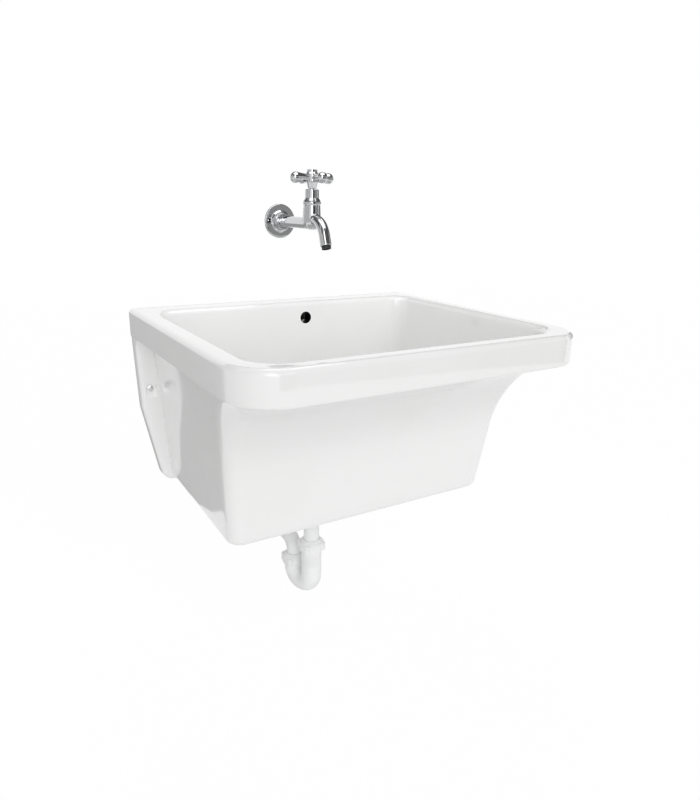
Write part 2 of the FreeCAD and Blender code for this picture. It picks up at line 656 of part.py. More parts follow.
def make_bend():
    """Bend of the trap, one bore all the way, with a long inlet leg and a short outlet leg."""
    start = bend_centre()
    way = trap_way()
    far = start + way * TRAP_SPACING
    shapes = []
    for radius, past in ((SOCKET_RADIUS, 0.0), (SOCKET_RADIUS - SOCKET_WALL, 1.0)):
        curve = bent_rod(radius, start, -UP, way, TRAP_SPACING / 2, 180)
        legs = [rod(radius, start, trap_inlet() + UP * past), rod(radius, far, trap_outlet() + UP * past)]
        shapes.append(curve.fuse(legs))
    return shapes[0].cut(shapes[1])


def arm_corner():
    """Start of the trap arm's elbow."""
    return trap_outlet() + UP * (ARM_RISE - ARM_ELBOW)


def arm_in_wall():
    """Point where the trap arm's axis meets the wall."""
    corner = arm_corner()
    return Vector(corner.x, 0, corner.z + ARM_ELBOW)


def make_trap_arm():
    """Pipe that rises out of the bend, turns to the wall and ends in a spigot inside it."""
    corner = arm_corner()
    foot = trap_outlet() - UP * ARM_IN_SOCKET
    elbow_end = corner + UP * ARM_ELBOW + TO_WALL * ARM_ELBOW
    shoulder = arm_in_wall() + TO_WALL * ARM_PAST_WALL
    end = shoulder + TO_WALL * SPIGOT_LENGTH
    bore = PIPE_RADIUS - PIPE_WALL
    outer = rod(PIPE_RADIUS, foot, corner).fuse([
        bent_rod(PIPE_RADIUS, corner, UP, TO_WALL, ARM_ELBOW, 90), rod(PIPE_RADIUS, elbow_end, shoulder),
        rod(SPIGOT_RADIUS, shoulder, end)])
    inner = rod(bore, foot - UP, corner).fuse([
        bent_rod(bore, corner, UP, TO_WALL, ARM_ELBOW, 90), rod(bore, elbow_end, end + TO_WALL)])
    return outer.cut(inner)


def make_rosette():
    """Domed cover plate where the trap arm goes into the wall."""
    inner = PIPE_RADIUS + GAP
    profile = ((inner, 0), (ROSETTE_RADIUS, 0), (ROSETTE_RADIUS - 1, ROSETTE_THICKNESS / 2),
               (inner + 2 * ROSETTE_THICKNESS, ROSETTE_THICKNESS),
               (inner + ROSETTE_THICKNESS, ROSETTE_COLLAR), (inner, ROSETTE_COLLAR))
    return turned(profile, arm_in_wall(), TO_USER)


# ---- tap -----------------------------------------------------------------------------------
def tap_point(height):
    """Point on the valve's axis, by its height above the arm's axis."""
    return Vector(0, -TAP_REACH, ARM_Z + height)


def spout_tip():
    """Middle of the spout's open end and the way it points."""
    angle = math.radians(SPOUT_TURN)
    along = Vector(0, -math.cos(angle), -math.sin(angle))
    start = tap_point(SPOUT_UP) + TO_USER * SPOUT_STRAIGHT
    end = start + Vector(0, -math.sin(angle), math.cos(angle) - 1) * SPOUT_BEND
    return end + along * SPOUT_TIP, along


def make_spout(radius, start):
    """Bar along the spout's centre line, from a distance before the valve's axis."""
    tip, along = spout_tip()
    corner = tap_point(SPOUT_UP) + TO_USER * SPOUT_STRAIGHT
    curve = bent_rod(radius, corner, TO_USER, -UP, SPOUT_BEND, SPOUT_TURN)
    return curve.fuse([rod(radius, tap_point(SPOUT_UP) + TO_USER * start, corner),
                       rod(radius, tip - along * SPOUT_TIP, tip)])


def make_tap_body():
    """Body of the tap: wall thread, arm, barrel, collar and spout, with its waterways."""
    wall = Vector(0, 0, ARM_Z)
    wide = BARREL_RADIUS - BARREL_DOWN
    brim = COLLAR_UP + COLLAR_HEIGHT
    barrel = turned(((0, wide), (BARREL_RADIUS, wide), (BARREL_TOP_RADIUS, COLLAR_UP),
                     (COLLAR_RADIUS, COLLAR_UP), (COLLAR_RADIUS, brim), (0, brim)), tap_point(0))
    thread = wall + TO_WALL * RELIEF_LENGTH
    inlet = thread + TO_WALL * INLET_LENGTH
    foot = Part.makeSphere(BARREL_RADIUS, tap_point(wide))
    metal = rod(INLET_RADIUS, inlet, thread).fuse([
        rod(RELIEF_RADIUS, thread, wall), rod(TAP_ARM_RADIUS, wall, tap_point(0)), foot, barrel,
        make_spout(SPOUT_RADIUS, 0)])
    seat = tap_point(SEAT_UP)
    tip, along = spout_tip()
    water = [rod(TAP_BORE, inlet + TO_WALL, tap_point(0)),
             rod(SEAT_HOLE, tap_point(-SEAT_HOLE), seat + UP * OVER),
             rod(CHAMBER_RADIUS, seat, tap_point(brim + 1)),
             make_spout(TAP_BORE, SEAT_HOLE + SEAT_WALL),
             rod(INSERT_RADIUS, tip - along * INSERT_DEEP, tip + along)]
    ring = tube(SEAT_HOLE + SEAT_WALL, SEAT_HOLE, seat, seat + UP * SEAT_RING)
    return metal.cut(water).fuse(ring)


def make_spout_insert():
    """Black sleeve that forms the stream at the spout's end."""
    tip, along = spout_tip()
    return tube(INSERT_RADIUS - GAP, INSERT_RADIUS - GAP - INSERT_WALL,
                tip - along * INSERT_DEEP, tip + along * INSERT_PROUD)


def make_escutcheon():
    """Dished wall plate of the tap with a stepped ring round the arm."""
    inner = TAP_ARM_RADIUS + GAP
    wall = ESCUTCHEON_WALL
    profile = ((ESCUTCHEON_RADIUS - wall, 0), (ESCUTCHEON_RADIUS, 0), (ESCUTCHEON_RADIUS, ESCUTCHEON_EDGE),
               (ESCUTCHEON_RADIUS - wall, ESCUTCHEON_EDGE + wall),
               (FERRULE_RADIUS + wall, ESCUTCHEON_HEIGHT),
               (FERRULE_RADIUS, ESCUTCHEON_HEIGHT + FERRULE_LENGTH - wall),
               (FERRULE_RADIUS - wall, ESCUTCHEON_HEIGHT + FERRULE_LENGTH),
               (inner, ESCUTCHEON_HEIGHT + FERRULE_LENGTH), (inner, ESCUTCHEON_HEIGHT - wall),
               (ESCUTCHEON_RADIUS - wall, ESCUTCHEON_EDGE))
    return turned(profile, Vector(0, 0, ARM_Z), TO_USER)


def bonnet_foot():
    """Underside of the bonnet's hexagon, by height above the arm's axis."""
    return COLLAR_UP + COLLAR_HEIGHT + BONNET_GASKET


def disc_top():
    """Top of the valve disc when the tap is shut, by height above the arm's axis."""
    return SEAT_UP + SEAT_RING + VALVE_WASHER + DISC_THICKNESS


def packing_foot():
    """Underside of the gland packing, by height above the arm's axis."""
    return gland_top() - GLAND_HEAD - GLAND_DEEP - PACKING_HEIGHT


def gland_top():
    """Top of the gland nut, by height above the arm's axis."""
    return bonnet_foot() + BONNET_HEIGHT


def make_bonnet():
    """Round bonnet that screws into the barrel, carries the spindle and hides the gland nut."""
    foot, top = bonnet_foot(), gland_top()
    cone = foot + BONNET_CONE
    head = turned(((0, foot), (BONNET_FOOT_RADIUS, foot), (BONNET_RADIUS, cone),
                   (BONNET_RADIUS, top - BONNET_ROUND), (BONNET_RADIUS - BONNET_ROUND, top), (0, top)),
                  tap_point(0))
    thread = rod(CHAMBER_RADIUS - GAP, tap_point(foot - BONNET_GASKET - BONNET_THREAD), tap_point(foot))
    stem_bore = rod(STEM_RADIUS + RUNNING, tap_point(0), tap_point(packing_foot() - BONNET_WEB))
    neck_bore = rod(NECK_RADIUS + RUNNING, tap_point(0), tap_point(top + 1))
    gland_bore = rod(GLAND_RADIUS + GAP, tap_point(packing_foot()), tap_point(top + 1))
    well = rod(GLAND_WELL, tap_point(top - GLAND_HEAD), tap_point(top + 1))
    return head.fuse(thread).cut([stem_bore, neck_bore, gland_bore, well])


def make_bonnet_gasket():
    """Flat ring between the barrel's collar and the bonnet."""
    foot = tap_point(COLLAR_UP + COLLAR_HEIGHT)
    return tube(BONNET_FOOT_RADIUS - 1, CHAMBER_RADIUS, foot, foot + UP * BONNET_GASKET)


def make_gland_packing():
    """Soft ring that seals the spindle's neck."""
    return tube(GLAND_RADIUS, NECK_RADIUS + RUNNING, tap_point(packing_foot()),
                tap_point(packing_foot() + PACKING_HEIGHT))


def make_gland_nut():
    """Small hexagonal nut that presses the packing down."""
    top = gland_top()
    thread = rod(GLAND_RADIUS, tap_point(packing_foot() + PACKING_HEIGHT), tap_point(top - GLAND_HEAD))
    head = hexagon(GLAND_FLATS, GLAND_HEAD, tap_point(top - GLAND_HEAD))
    return thread.fuse(head).cut(rod(NECK_RADIUS + RUNNING, tap_point(0), tap_point(top + 1)))


def skirt_foot():
    """Lower end of the handle's skirt, by height above the arm's axis."""
    return gland_top() + HANDLE_LIFT


def square_foot():
    """Lower end of the spindle's square, by height above the arm's axis."""
    return handle_web() - HANDLE_WEB - SQUARE_HEIGHT


def make_spindle():
    """Spindle: threaded stem below, plain neck through the gland, square end above."""
    foot = disc_top() + AXIAL_PLAY
    stem_top = packing_foot() - BONNET_WEB - VALVE_TRAVEL - STEM_SPARE
    stem = rod(STEM_RADIUS, tap_point(foot), tap_point(stem_top))
    neck = rod(NECK_RADIUS, tap_point(foot), tap_point(square_foot()))
    corner = Vector(SQUARE / 2, SQUARE / 2, 0)
    square = Part.makeBox(SQUARE, SQUARE, SQUARE_HEIGHT, tap_point(square_foot()) - corner)
    pin_bore = rod(DISC_PIN_RADIUS + RUNNING, tap_point(0), tap_point(disc_top() + DISC_PIN + 1))
    top = tap_point(square_foot() + SQUARE_HEIGHT)
    screw_bore = rod(HANDLE_SCREW_RADIUS, top - UP * HANDLE_SCREW_LENGTH, top + UP)
    return stem.fuse([neck, square]).cut([pin_bore, screw_bore])


def make_valve_disc():
    """Loose valve disc with a pin up into the spindle and a threaded tail below."""
    top = disc_top()
    disc = rod(DISC_RADIUS, tap_point(top - DISC_THICKNESS), tap_point(top))
    pin = rod(DISC_PIN_RADIUS, tap_point(top), tap_point(top + DISC_PIN))
    tail_foot = top - DISC_THICKNESS - VALVE_WASHER - WASHER_NUT
    tail = rod(TAIL_RADIUS, tap_point(tail_foot), tap_point(top))
    return disc.fuse([pin, tail])


def make_valve_washer():
    """Rubber washer that closes on the seat."""
    top = disc_top() - DISC_THICKNESS
    return tube(VALVE_WASHER_RADIUS, TAIL_RADIUS, tap_point(top - VALVE_WASHER), tap_point(top))


def make_washer_nut():
    """Small nut that holds the rubber washer on the disc's tail."""
    top = disc_top() - DISC_THICKNESS - VALVE_WASHER
    nut = hexagon(WASHER_NUT_RADIUS * math.sqrt(3), WASHER_NUT, tap_point(top - WASHER_NUT))
    return nut.cut(rod(TAIL_RADIUS, tap_point(top - WASHER_NUT - 1), tap_point(top + 1)))


def hub_foot():
    """Lower end of the handle's wide hub, by height above the arm's axis."""
    return skirt_foot() + SKIRT_HEIGHT


def handle_web():
    """Height of the floor of the handle's well above the arm's axis."""
    return hub_foot() + HANDLE_HUB_HEIGHT - CAP_PLUG - GAP - HANDLE_SCREW_HEAD


def make_handle_arm(way, height):
    """One arm of the handle: a cone that runs smoothly into a ball."""
    reach = ARM_REACH - HANDLE_BORE
    lean = math.asin(BALL_RADIUS / math.hypot(reach, HANDLE_ARM_ROOT)) - math.atan2(HANDLE_ARM_ROOT, reach)
    root = Vector(HANDLE_ARM_ROOT, 0, 0)
    touch = Vector(BALL_RADIUS * math.cos(lean), 0, reach - BALL_RADIUS * math.sin(lean))
    crown = Vector(BALL_RADIUS * math.sin(math.pi / 4), 0, reach + BALL_RADIUS * math.cos(math.pi / 4))
    tip = Vector(0, 0, reach + BALL_RADIUS)
    outline = Part.Wire([Part.makeLine(Vector(), root), Part.makeLine(root, touch),
                         Part.Arc(touch, crown, tip).toShape(), Part.makeLine(tip, Vector())])
    arm = Part.Face(outline).revolve(Vector(), UP, 360)
    arm.Placement = FreeCAD.Placement(tap_point(height) + way * HANDLE_BORE, FreeCAD.Rotation(UP, way))
    return arm


def make_handle():
    """Cross handle: flared skirt, hub and four arms that swell into balls."""
    foot, hub = skirt_foot(), hub_foot()
    top = hub + HANDLE_HUB_HEIGHT
    outer = HANDLE_HUB_RADIUS
    profile = ((0, foot), (SKIRT_RADIUS, foot), (SHOULDER_RADIUS, hub),
               (outer, hub + HANDLE_HUB_BEVEL), (outer, top), (0, top))
    solid = turned(profile, tap_point(0))
    arms = []
    for i in range(HANDLE_ARMS):
        angle = math.radians(360 / HANDLE_ARMS * i + HANDLE_REST)
        arms.append(make_handle_arm(Vector(math.cos(angle), math.sin(angle), 0), (hub + top) / 2))
    socket = SQUARE + 2 * RUNNING
    corner = Vector(socket / 2, socket / 2, 0)
    bores = [rod(NECK_RADIUS + GAP, tap_point(foot - 1), tap_point(square_foot())),
             Part.makeBox(socket, socket, SQUARE_HEIGHT, tap_point(square_foot()) - corner),
             rod(HANDLE_SCREW_RADIUS + GAP, tap_point(square_foot()), tap_point(top)),
             rod(HANDLE_BORE, tap_point(handle_web()), tap_point(top + 1))]
    return solid.fuse(arms).cut(bores)


def make_handle_screw():
    """Screw that holds the handle on the spindle, hidden under the cap."""
    floor = handle_web()
    head = rod(HANDLE_SCREW_HEAD_RADIUS, tap_point(floor), tap_point(floor + HANDLE_SCREW_HEAD))
    foot = handle_web() - HANDLE_WEB - HANDLE_SCREW_LENGTH
    return head.fuse(rod(HANDLE_SCREW_RADIUS, tap_point(foot), tap_point(floor)))


def make_handle_cap():
    """Plain bevelled cap that plugs the well in the handle's hub."""
    seat = hub_foot() + HANDLE_HUB_HEIGHT
    plug = HANDLE_BORE - GAP
    top = seat + CAP_HEIGHT
    profile = ((0, seat - CAP_PLUG), (plug, seat - CAP_PLUG), (plug, seat), (CAP_RADIUS, seat),
               (CAP_TOP_RADIUS, seat + CAP_BEVEL), (CAP_TOP_RADIUS, top), (0, top))
    return turned(profile, tap_point(0))


# ---- every node ----------------------------------------------------------------------------
def make_parts():
    """All pieces by the name of their node."""
    seat = drain_seat()
    tail_top = tail_mouth() - UP * WASHER_HEIGHT
    return {
        "basin": make_basin(),
        "strainer_grid": make_strainer(),
        "strainer_gasket": drain_ring(STRAINER_RADIUS - 1, seat, seat + GASKET),
        "strainer_screw": make_strainer_screw(),
        "waste_body": make_waste_body(),
        "waste_gasket": drain_ring(WASTE_FLANGE_RADIUS, flange_top(), UNDERSIDE),
        "tailpiece": make_tailpiece(),
        "tailpiece_washer": tube(SOCKET_RADIUS, PIPE_RADIUS - PIPE_WALL, tail_top, tail_mouth()),
        "tailpiece_nut": make_tail_nut(),
        "trap_inlet_nut": make_nut(trap_inlet()),
        "trap_inlet_washer": make_washer(trap_inlet()),
        "trap_bend": make_bend(),
        "trap_outlet_nut": make_nut(trap_outlet()),
        "trap_outlet_washer": make_washer(trap_outlet()),
        "trap_arm": make_trap_arm(),
        "wall_rosette": make_rosette(),
        "tap_body": make_tap_body(),
        "tap_escutcheon": make_escutcheon(),
        "spout_insert": make_spout_insert(),
        "tap_bonnet": make_bonnet(),
        "bonnet_gasket": make_bonnet_gasket(),
        "gland_packing": make_gland_packing(),
        "gland_nut": make_gland_nut(),
        "tap_spindle": make_spindle(),
        "valve_disc": make_valve_disc(),
        "valve_washer": make_valve_washer(),
        "washer_nut": make_washer_nut(),
        "tap_handle": make_handle(),
        "handle_screw": make_handle_screw(),
        "handle_cap": make_handle_cap(),
    }


os.makedirs("parts", exist_ok=True)
for node, shape in make_parts().items():
    shape.exportStep("parts/" + node + ".step")
    state = "valid" if shape.isValid() else "BROKEN"
    print(node, state, len(shape.Solids), "solids", round(shape.Volume), "mm3")
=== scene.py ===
"""Looks of a wall-hung laundry sink, its plastic waste and trap and the tap on the wall above it.

Lengths are millimetres in the sizes and become metres when a mesh is made. The wall is the plane
Y = 0, the user stands at -Y and Z is up.
"""

import json
import logging
import math
from dataclasses import dataclass
from enum import Enum
from typing import Any, Callable, Iterable, Mapping, Sequence

import bmesh
import bpy
from mathutils import Matrix, Vector


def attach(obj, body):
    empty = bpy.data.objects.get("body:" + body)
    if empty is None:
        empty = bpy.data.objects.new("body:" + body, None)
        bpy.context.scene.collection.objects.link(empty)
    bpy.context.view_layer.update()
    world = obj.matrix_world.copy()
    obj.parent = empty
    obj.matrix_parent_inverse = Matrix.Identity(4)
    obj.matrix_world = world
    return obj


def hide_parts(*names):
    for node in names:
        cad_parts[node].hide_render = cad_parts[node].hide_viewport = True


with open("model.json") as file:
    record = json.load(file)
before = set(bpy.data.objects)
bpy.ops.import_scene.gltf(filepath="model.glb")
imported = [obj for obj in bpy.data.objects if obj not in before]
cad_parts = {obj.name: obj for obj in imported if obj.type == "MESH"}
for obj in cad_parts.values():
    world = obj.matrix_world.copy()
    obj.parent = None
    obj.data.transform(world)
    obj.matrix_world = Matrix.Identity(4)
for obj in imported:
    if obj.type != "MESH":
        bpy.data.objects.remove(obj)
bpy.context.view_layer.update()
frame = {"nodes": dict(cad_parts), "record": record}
LOG = logging.getLogger("sink")

METRE = 0.001
SINK, SPINDLE = "sink", "spindle"
Profile = Sequence[tuple[float, float, float]]


# ---- shader expressions --------------------------------------------------------------------
class Socket:
    """A value in a node tree that can stand in an expression."""

    def __init__(self, graph: "Graph", link: Any) -> None:
        """Keeps the graph and the output socket."""
        self.graph = graph
        self.link = link

    def _math(self, operation: str, first: Any, second: Any) -> "Socket":
        """One Math node of two values."""
        return self.graph.node("ShaderNodeMath", {"operation": operation}, {0: first, 1: second})

    def __add__(self, other: Any) -> "Socket":
        """Sum."""
        return self._math("ADD", self, other)

    __radd__ = __add__

    def __sub__(self, other: Any) -> "Socket":
        """Difference."""
        return self._math("SUBTRACT", self, other)

    def __rsub__(self, other: Any) -> "Socket":
        """Difference from a number."""
        return self._math("SUBTRACT", other, self)

    def __mul__(self, other: Any) -> "Socket":
        """Product."""
        return self._math("MULTIPLY", self, other)

    __rmul__ = __mul__

    def above(self, limit: float, width: float) -> "Socket":
        """Smooth step from 0 to 1 over a width after a limit.

        Args:
            limit: value where the step starts.
            width: length of the step.

        Returns:
            The stepped value.
        """
        values = {0: self, 1: limit, 2: limit + width, 3: 0.0, 4: 1.0}
        return self.graph.node("ShaderNodeMapRange", {"interpolation_type": "SMOOTHSTEP"}, values)


class Graph:
    """A node tree that is filled by expressions."""

    def __init__(self, tree: bpy.types.NodeTree) -> None:
        """Empties the tree."""
        self.tree = tree
        self.tree.nodes.clear()

    def node(self, kind: str, settings: Mapping[str, Any] = {}, values: Mapping[Any, Any] = {},
             output: Any = 0) -> Socket:
        """Adds any node.

        Args:
            kind: type of the node.
            settings: attributes that are set before the sockets.
            values: numbers, colours or sockets by input.
            output: which output is handed back.

        Returns:
            The chosen output.
        """
        made = self.tree.nodes.new(kind)
        for name, value in settings.items():
            setattr(made, name, value)
        for key, value in values.items():
            if isinstance(value, Socket):
                self.tree.links.new(value.link, made.inputs[key])
            else:
                made.inputs[key].default_value = value
        return Socket(self, made.outputs[output] if len(made.outputs) else None)

    def noise(self, scale: float, detail: float = 2.0, place: Socket | None = None) -> Socket:
        """Noise over the object's own space.

        Args:
            scale: how many waves to a metre.
            detail: octaves of finer waves.
            place: coordinates, the object's own if none are given.

        Returns:
            A value about one half.
        """
        where = place or self.place()
        return self.node("ShaderNodeTexNoise", {}, {"Vector": where, "Scale": scale, "Detail": detail})

    def place(self) -> Socket:
        """Position in the object's own space, in metres."""
        return self.node("ShaderNodeTexCoord", {}, {}, "Object")

    def blend(self, factor: Any, first: Any, second: Any) -> Socket:
        """Mix of two colours by a factor."""
        return self.node("ShaderNodeMix", {"data_type": "RGBA"}, {0: factor, 6: first, 7: second}, 2)


def shade(name: str, build: Callable[[Graph], Mapping[str, Any]]) -> bpy.types.Material:
    """Makes a material on one Principled shader.

    Args:
        name: the material's name.
        build: gives the shader's inputs from the graph.

    Returns:
        The material.
    """
    material = bpy.data.materials.new(name)
    material.use_nodes = True
    graph = Graph(material.node_tree)
    surface = graph.node("ShaderNodeBsdfPrincipled", {}, build(graph))
    graph.node("ShaderNodeOutputMaterial", {}, {"Surface": surface})
    return material


# ---- finishes ------------------------------------------------------------------------------
@dataclass(frozen=True)
class Glaze:
    """White glaze over fired clay: glassy, with faint waves and pinhead specks, and near-black painted shade
    inside the overflow.
    """

    colour: tuple[float, float, float, float] = (0.91, 0.91, 0.907, 1)
    thin: tuple[float, float, float, float] = (0.88, 0.876, 0.868, 1)
    roughness: float = 0.07
    wave: float = 14.0
    peel: float = 420.0
    # near-black painted shade for the inside of the overflow and its duct
    bare: tuple[float, float, float, float] = (0.004, 0.004, 0.004, 1)
    hole: tuple[float, float, float] = (0.0315, 0.0, 0.1155)
    hole_radius: float = 0.0117
    hole_mouth: float = -0.0545

    def inside_overflow(self, graph: Graph) -> Socket:
        """1 inside the overflow and its duct, where near-black painted shade stands in for the hole's darkness,
        else 0.
        """
        where = graph.node("ShaderNodeVectorMath", {"operation": "SUBTRACT"}, {0: graph.place(), 1: self.hole})
        flat = graph.node("ShaderNodeVectorMath", {"operation": "MULTIPLY"}, {0: where, 1: (1.0, 0.0, 1.0)})
        reach = graph.node("ShaderNodeVectorMath", {"operation": "LENGTH"}, {0: flat}, "Value")
        depth = graph.node("ShaderNodeSeparateXYZ", {}, {0: graph.place()}, 1)
        deep = depth.above(self.hole_mouth, 0.0005) * (1 - depth.above(-0.004, 0.001))
        return (1 - reach.above(self.hole_radius, 0.0003)) * deep

    def inputs(self, graph: Graph) -> Mapping[str, Any]:
        """Shader inputs of the glaze."""
        pooled = graph.noise(5.0, 3.0).above(0.42, 0.25)
        specks = graph.noise(900.0, 0.0).above(0.79, 0.03)
        shade_ = graph.blend(pooled * 0.5 + specks * 0.5, self.colour, self.thin)
        # painted shade: the overflow and its duct are coloured near-black to stand in for the hole's darkness
        overflow_shade_mask = self.inside_overflow(graph)
        shade_ = graph.blend(overflow_shade_mask, shade_, self.bare)
        relief = graph.noise(self.wave, 1.0) + graph.noise(self.peel, 1.0) * 0.02
        bump = graph.node("ShaderNodeBump", {}, {"Height": relief, "Strength": 0.12, "Distance": 0.004})
        return {"Base Color": shade_, "Roughness": graph.noise(60.0) * 0.04 + self.roughness,
                "IOR": 1.5, "Coat Weight": 0.7, "Coat Roughness": 0.06, "Normal": bump}


@dataclass(frozen=True)
class Moulded:
    """Moulded plastic: satin, with a fine grain left by the mould."""

    colour: tuple[float, float, float, float]
    roughness: float = 0.32
    grain: float = 900.0

    def inputs(self, graph: Graph) -> Mapping[str, Any]:
        """Shader inputs of the plastic."""
        red, green, blue, alpha = self.colour
        duller = (red * 0.94, green * 0.94, blue * 0.94, alpha)
        flow = graph.noise(35.0, 3.0).above(0.35, 0.35)
        relief = graph.noise(self.grain, 2.0) + graph.noise(70.0) * 0.6
        bump = graph.node("ShaderNodeBump", {}, {"Height": relief, "Strength": 0.1, "Distance": 0.0006})
        return {"Base Color": graph.blend(flow, self.colour, duller),
                "Roughness": graph.noise(120.0) * 0.12 + self.roughness, "Normal": bump}


@dataclass(frozen=True)
class Plated:
    """Polished plating: mirror bright with slight waves and faint wiping marks."""

    colour: tuple[float, float, float, float] = (0.64, 0.645, 0.655, 1)
    roughness: float = 0.04
    wave: float = 25.0

    def inputs(self, graph: Graph) -> Mapping[str, Any]:
        """Shader inputs of the plating."""
        red, green, blue, alpha = self.colour
        misted = (red * 0.93, green * 0.93, blue * 0.94, alpha)
        film = graph.noise(180.0, 4.0).above(0.4, 0.3)
        bump = graph.node("ShaderNodeBump", {}, {"Height": graph.noise(self.wave, 1.0), "Strength": 0.08,
                                                 "Distance": 0.001})
        return {"Base Color": graph.blend(film, self.colour, misted), "Metallic": 1.0,
                "Roughness": film * 0.03 + self.roughness, "Normal": bump}


@dataclass(frozen=True)
class Turned:
    """Bare metal off the lathe: fine rings round the upright axis."""

    colour: tuple[float, float, float, float]
    roughness: float = 0.28
    rings: float = 2600.0

    def inputs(self, graph: Graph) -> Mapping[str, Any]:
        """Shader inputs of the turned metal."""
        red, green, blue, alpha = self.colour
        darker = (red * 0.8, green * 0.8, blue * 0.8, alpha)
        height = graph.node("ShaderNodeSeparateXYZ", {}, {0: graph.place()}, 2)
        cut = graph.node("ShaderNodeMath", {"operation": "SINE"}, {0: height * self.rings})
        stain = graph.noise(90.0, 4.0).above(0.4, 0.3)
        bump = graph.node("ShaderNodeBump", {}, {"Height": cut, "Strength": 0.15, "Distance": 0.0002})
        return {"Base Color": graph.blend(stain, self.colour, darker), "Metallic": 1.0,
                "Roughness": stain * 0.12 + self.roughness, "Normal": bump}


@dataclass(frozen=True)
class Rubber:
    """Soft sealing rubber with a dusty bloom."""

    colour: tuple[float, float, float, float]
    bloom: tuple[float, float, float, float] = (0.2, 0.2, 0.2, 1)

    def inputs(self, graph: Graph) -> Mapping[str, Any]:
        """Shader inputs of the rubber."""
        dust = graph.noise(140.0, 5.0).above(0.5, 0.3)
        bump = graph.node("ShaderNodeBump", {}, {"Height": graph.noise(1500.0), "Strength": 0.2,
                                                 "Distance": 0.0003})
        return {"Base Color": graph.blend(dust * 0.35, self.colour, self.bloom),
                "Roughness": dust * 0.15 + 0.6, "Normal": bump}


class Finish(Enum):
    """The record's material slots and what each is made of."""

    glazed_ceramic = Glaze()
    white_plastic = Moulded((0.92, 0.925, 0.925, 1))
    black_plastic = Moulded((0.012, 0.012, 0.012, 1), 0.4)
    chromed_brass = Plated()
    bare_brass = Turned((0.62, 0.44, 0.18, 1))
    stainless = Turned((0.56, 0.56, 0.56, 1), 0.22)
    black_rubber = Rubber((0.018, 0.018, 0.018, 1))
    grey_rubber = Rubber((0.09, 0.09, 0.09, 1))
    packing = Rubber((0.45, 0.4, 0.3, 1), (0.6, 0.55, 0.45, 1))

    def material(self) -> bpy.types.Material:
        """The slot's material, made once."""
        title = self.name + "_finish"
        return bpy.data.materials.get(title) or shade(title, self.value.inputs)


# ---- meshes --------------------------------------------------------------------------------
class Shape:
    """Vertices and faces in millimetres, laid ring by ring."""

    def __init__(self) -> None:
        """Starts empty."""
        self.points: list[Vector] = []
        self.faces: list[tuple[int, ...]] = []

    def ring(self, points: Iterable[Vector]) -> list[int]:
        """Adds points and gives their numbers."""
        start = len(self.points)
        self.points.extend(points)
        return list(range(start, len(self.points)))

    def bridge(self, low: Sequence[int], high: Sequence[int]) -> None:
        """Faces between two closed rings of as many points."""
        count = len(low)
        for i in range(count):
            j = (i + 1) % count
            self.faces.append((low[i], low[j], high[j], high[i]))

    def fan(self, ring: Sequence[int], centre: Vector, flip: bool) -> None:
        """Closes a ring with triangles to a point."""
        middle = self.ring([centre])[0]
        for i, point in enumerate(ring):
            after = ring[(i + 1) % len(ring)]
            self.faces.append((after, point, middle) if flip else (point, after, middle))

    def join(self, other: "Shape") -> "Shape":
        """Adds another shape's points and faces."""
        start = len(self.points)
        self.points.extend(other.points)
        self.faces.extend(tuple(start + i for i in face) for face in other.faces)
        return self

    def piece(self, name: str, crease: float = 40.0) -> bpy.types.Object:
        """Makes a Blender object.

        Args:
            name: the object's name.
            crease: edges sharper than this many degrees stay sharp.

        Returns:
            The object, in metres, with outward faces and smooth shading.
        """
        mesh = bpy.data.meshes.new(name)
        mesh.from_pydata([point * METRE for point in self.points], [], self.faces)
        made = bpy.data.objects.new(name, mesh)
        bpy.context.scene.collection.objects.link(made)
        work = bmesh.new()
        work.from_mesh(mesh)
        bmesh.ops.remove_doubles(work, verts=work.verts, dist=1e-7)
        bmesh.ops.recalc_face_normals(work, faces=work.faces)
        work.to_mesh(mesh)
        work.free()
        smooth(made, crease)
        return made


def smooth(piece: bpy.types.Object, crease: float) -> None:
    """Shades a piece smooth, with edges over the crease angle kept sharp."""
    piece.data.polygons.foreach_set("use_smooth", [True] * len(piece.data.polygons))
    piece.data.set_sharp_from_angle(angle=math.radians(crease))


def settle(piece: bpy.types.Object, crease: float) -> bpy.types.Object:
    """Applies a piece's modifiers.

    Args:
        piece: the object with modifiers.
        crease: angle above which edges stay sharp, in degrees.

    Returns:
        The same object with its modifiers in its mesh.
    """
    view = bpy.context.evaluated_depsgraph_get()
    mesh = bpy.data.meshes.new_from_object(piece.evaluated_get(view))
    piece.modifiers.clear()
    piece.data = mesh
    smooth(piece, crease)
    return piece


def cut(piece: bpy.types.Object, cutters: Sequence[bpy.types.Object], round_by: float = 0.0) -> bpy.types.Object:
    """Cuts shapes out of a piece and can round the new edges.

    Args:
        piece: what is cut.
        cutters: closed objects that are removed from it and deleted.
        round_by: radius of the rounded edges, in millimetres.

    Returns:
        The cut piece.
    """
    for cutter in cutters:
        step = piece.modifiers.new("cut", "BOOLEAN")
        step.operation = "DIFFERENCE"
        step.solver = "EXACT"
        step.object = cutter
    if round_by:
        bevel = piece.modifiers.new("round", "BEVEL")
        bevel.width = round_by * METRE
        bevel.segments = 4
        bevel.limit_method = "ANGLE"
        bevel.angle_limit = math.radians(40)
        bevel.harden_normals = False
    settle(piece, 40.0)
    for cutter in cutters:
        bpy.data.objects.remove(cutter)
    return piece


def cast(shape: Shape, name: str, grain: float, passes: int) -> bpy.types.Object:
    """Melts overlapping closed shapes into one casting with soft inner corners.

    Args:
        shape: the overlapping shapes.
        name: the object's name.
        grain: edge length of the new mesh, in millimetres.
        passes: how often the surface is smoothed.

    Returns:
        The casting.
    """
    piece = shape.piece(name)
    melt = piece.modifiers.new("melt", "REMESH")
    melt.mode = "VOXEL"
    melt.voxel_size = grain * METRE
    soften = piece.modifiers.new("soften", "SMOOTH")
    soften.factor = 0.5
    soften.iterations = passes
    return settle(piece, 80.0)


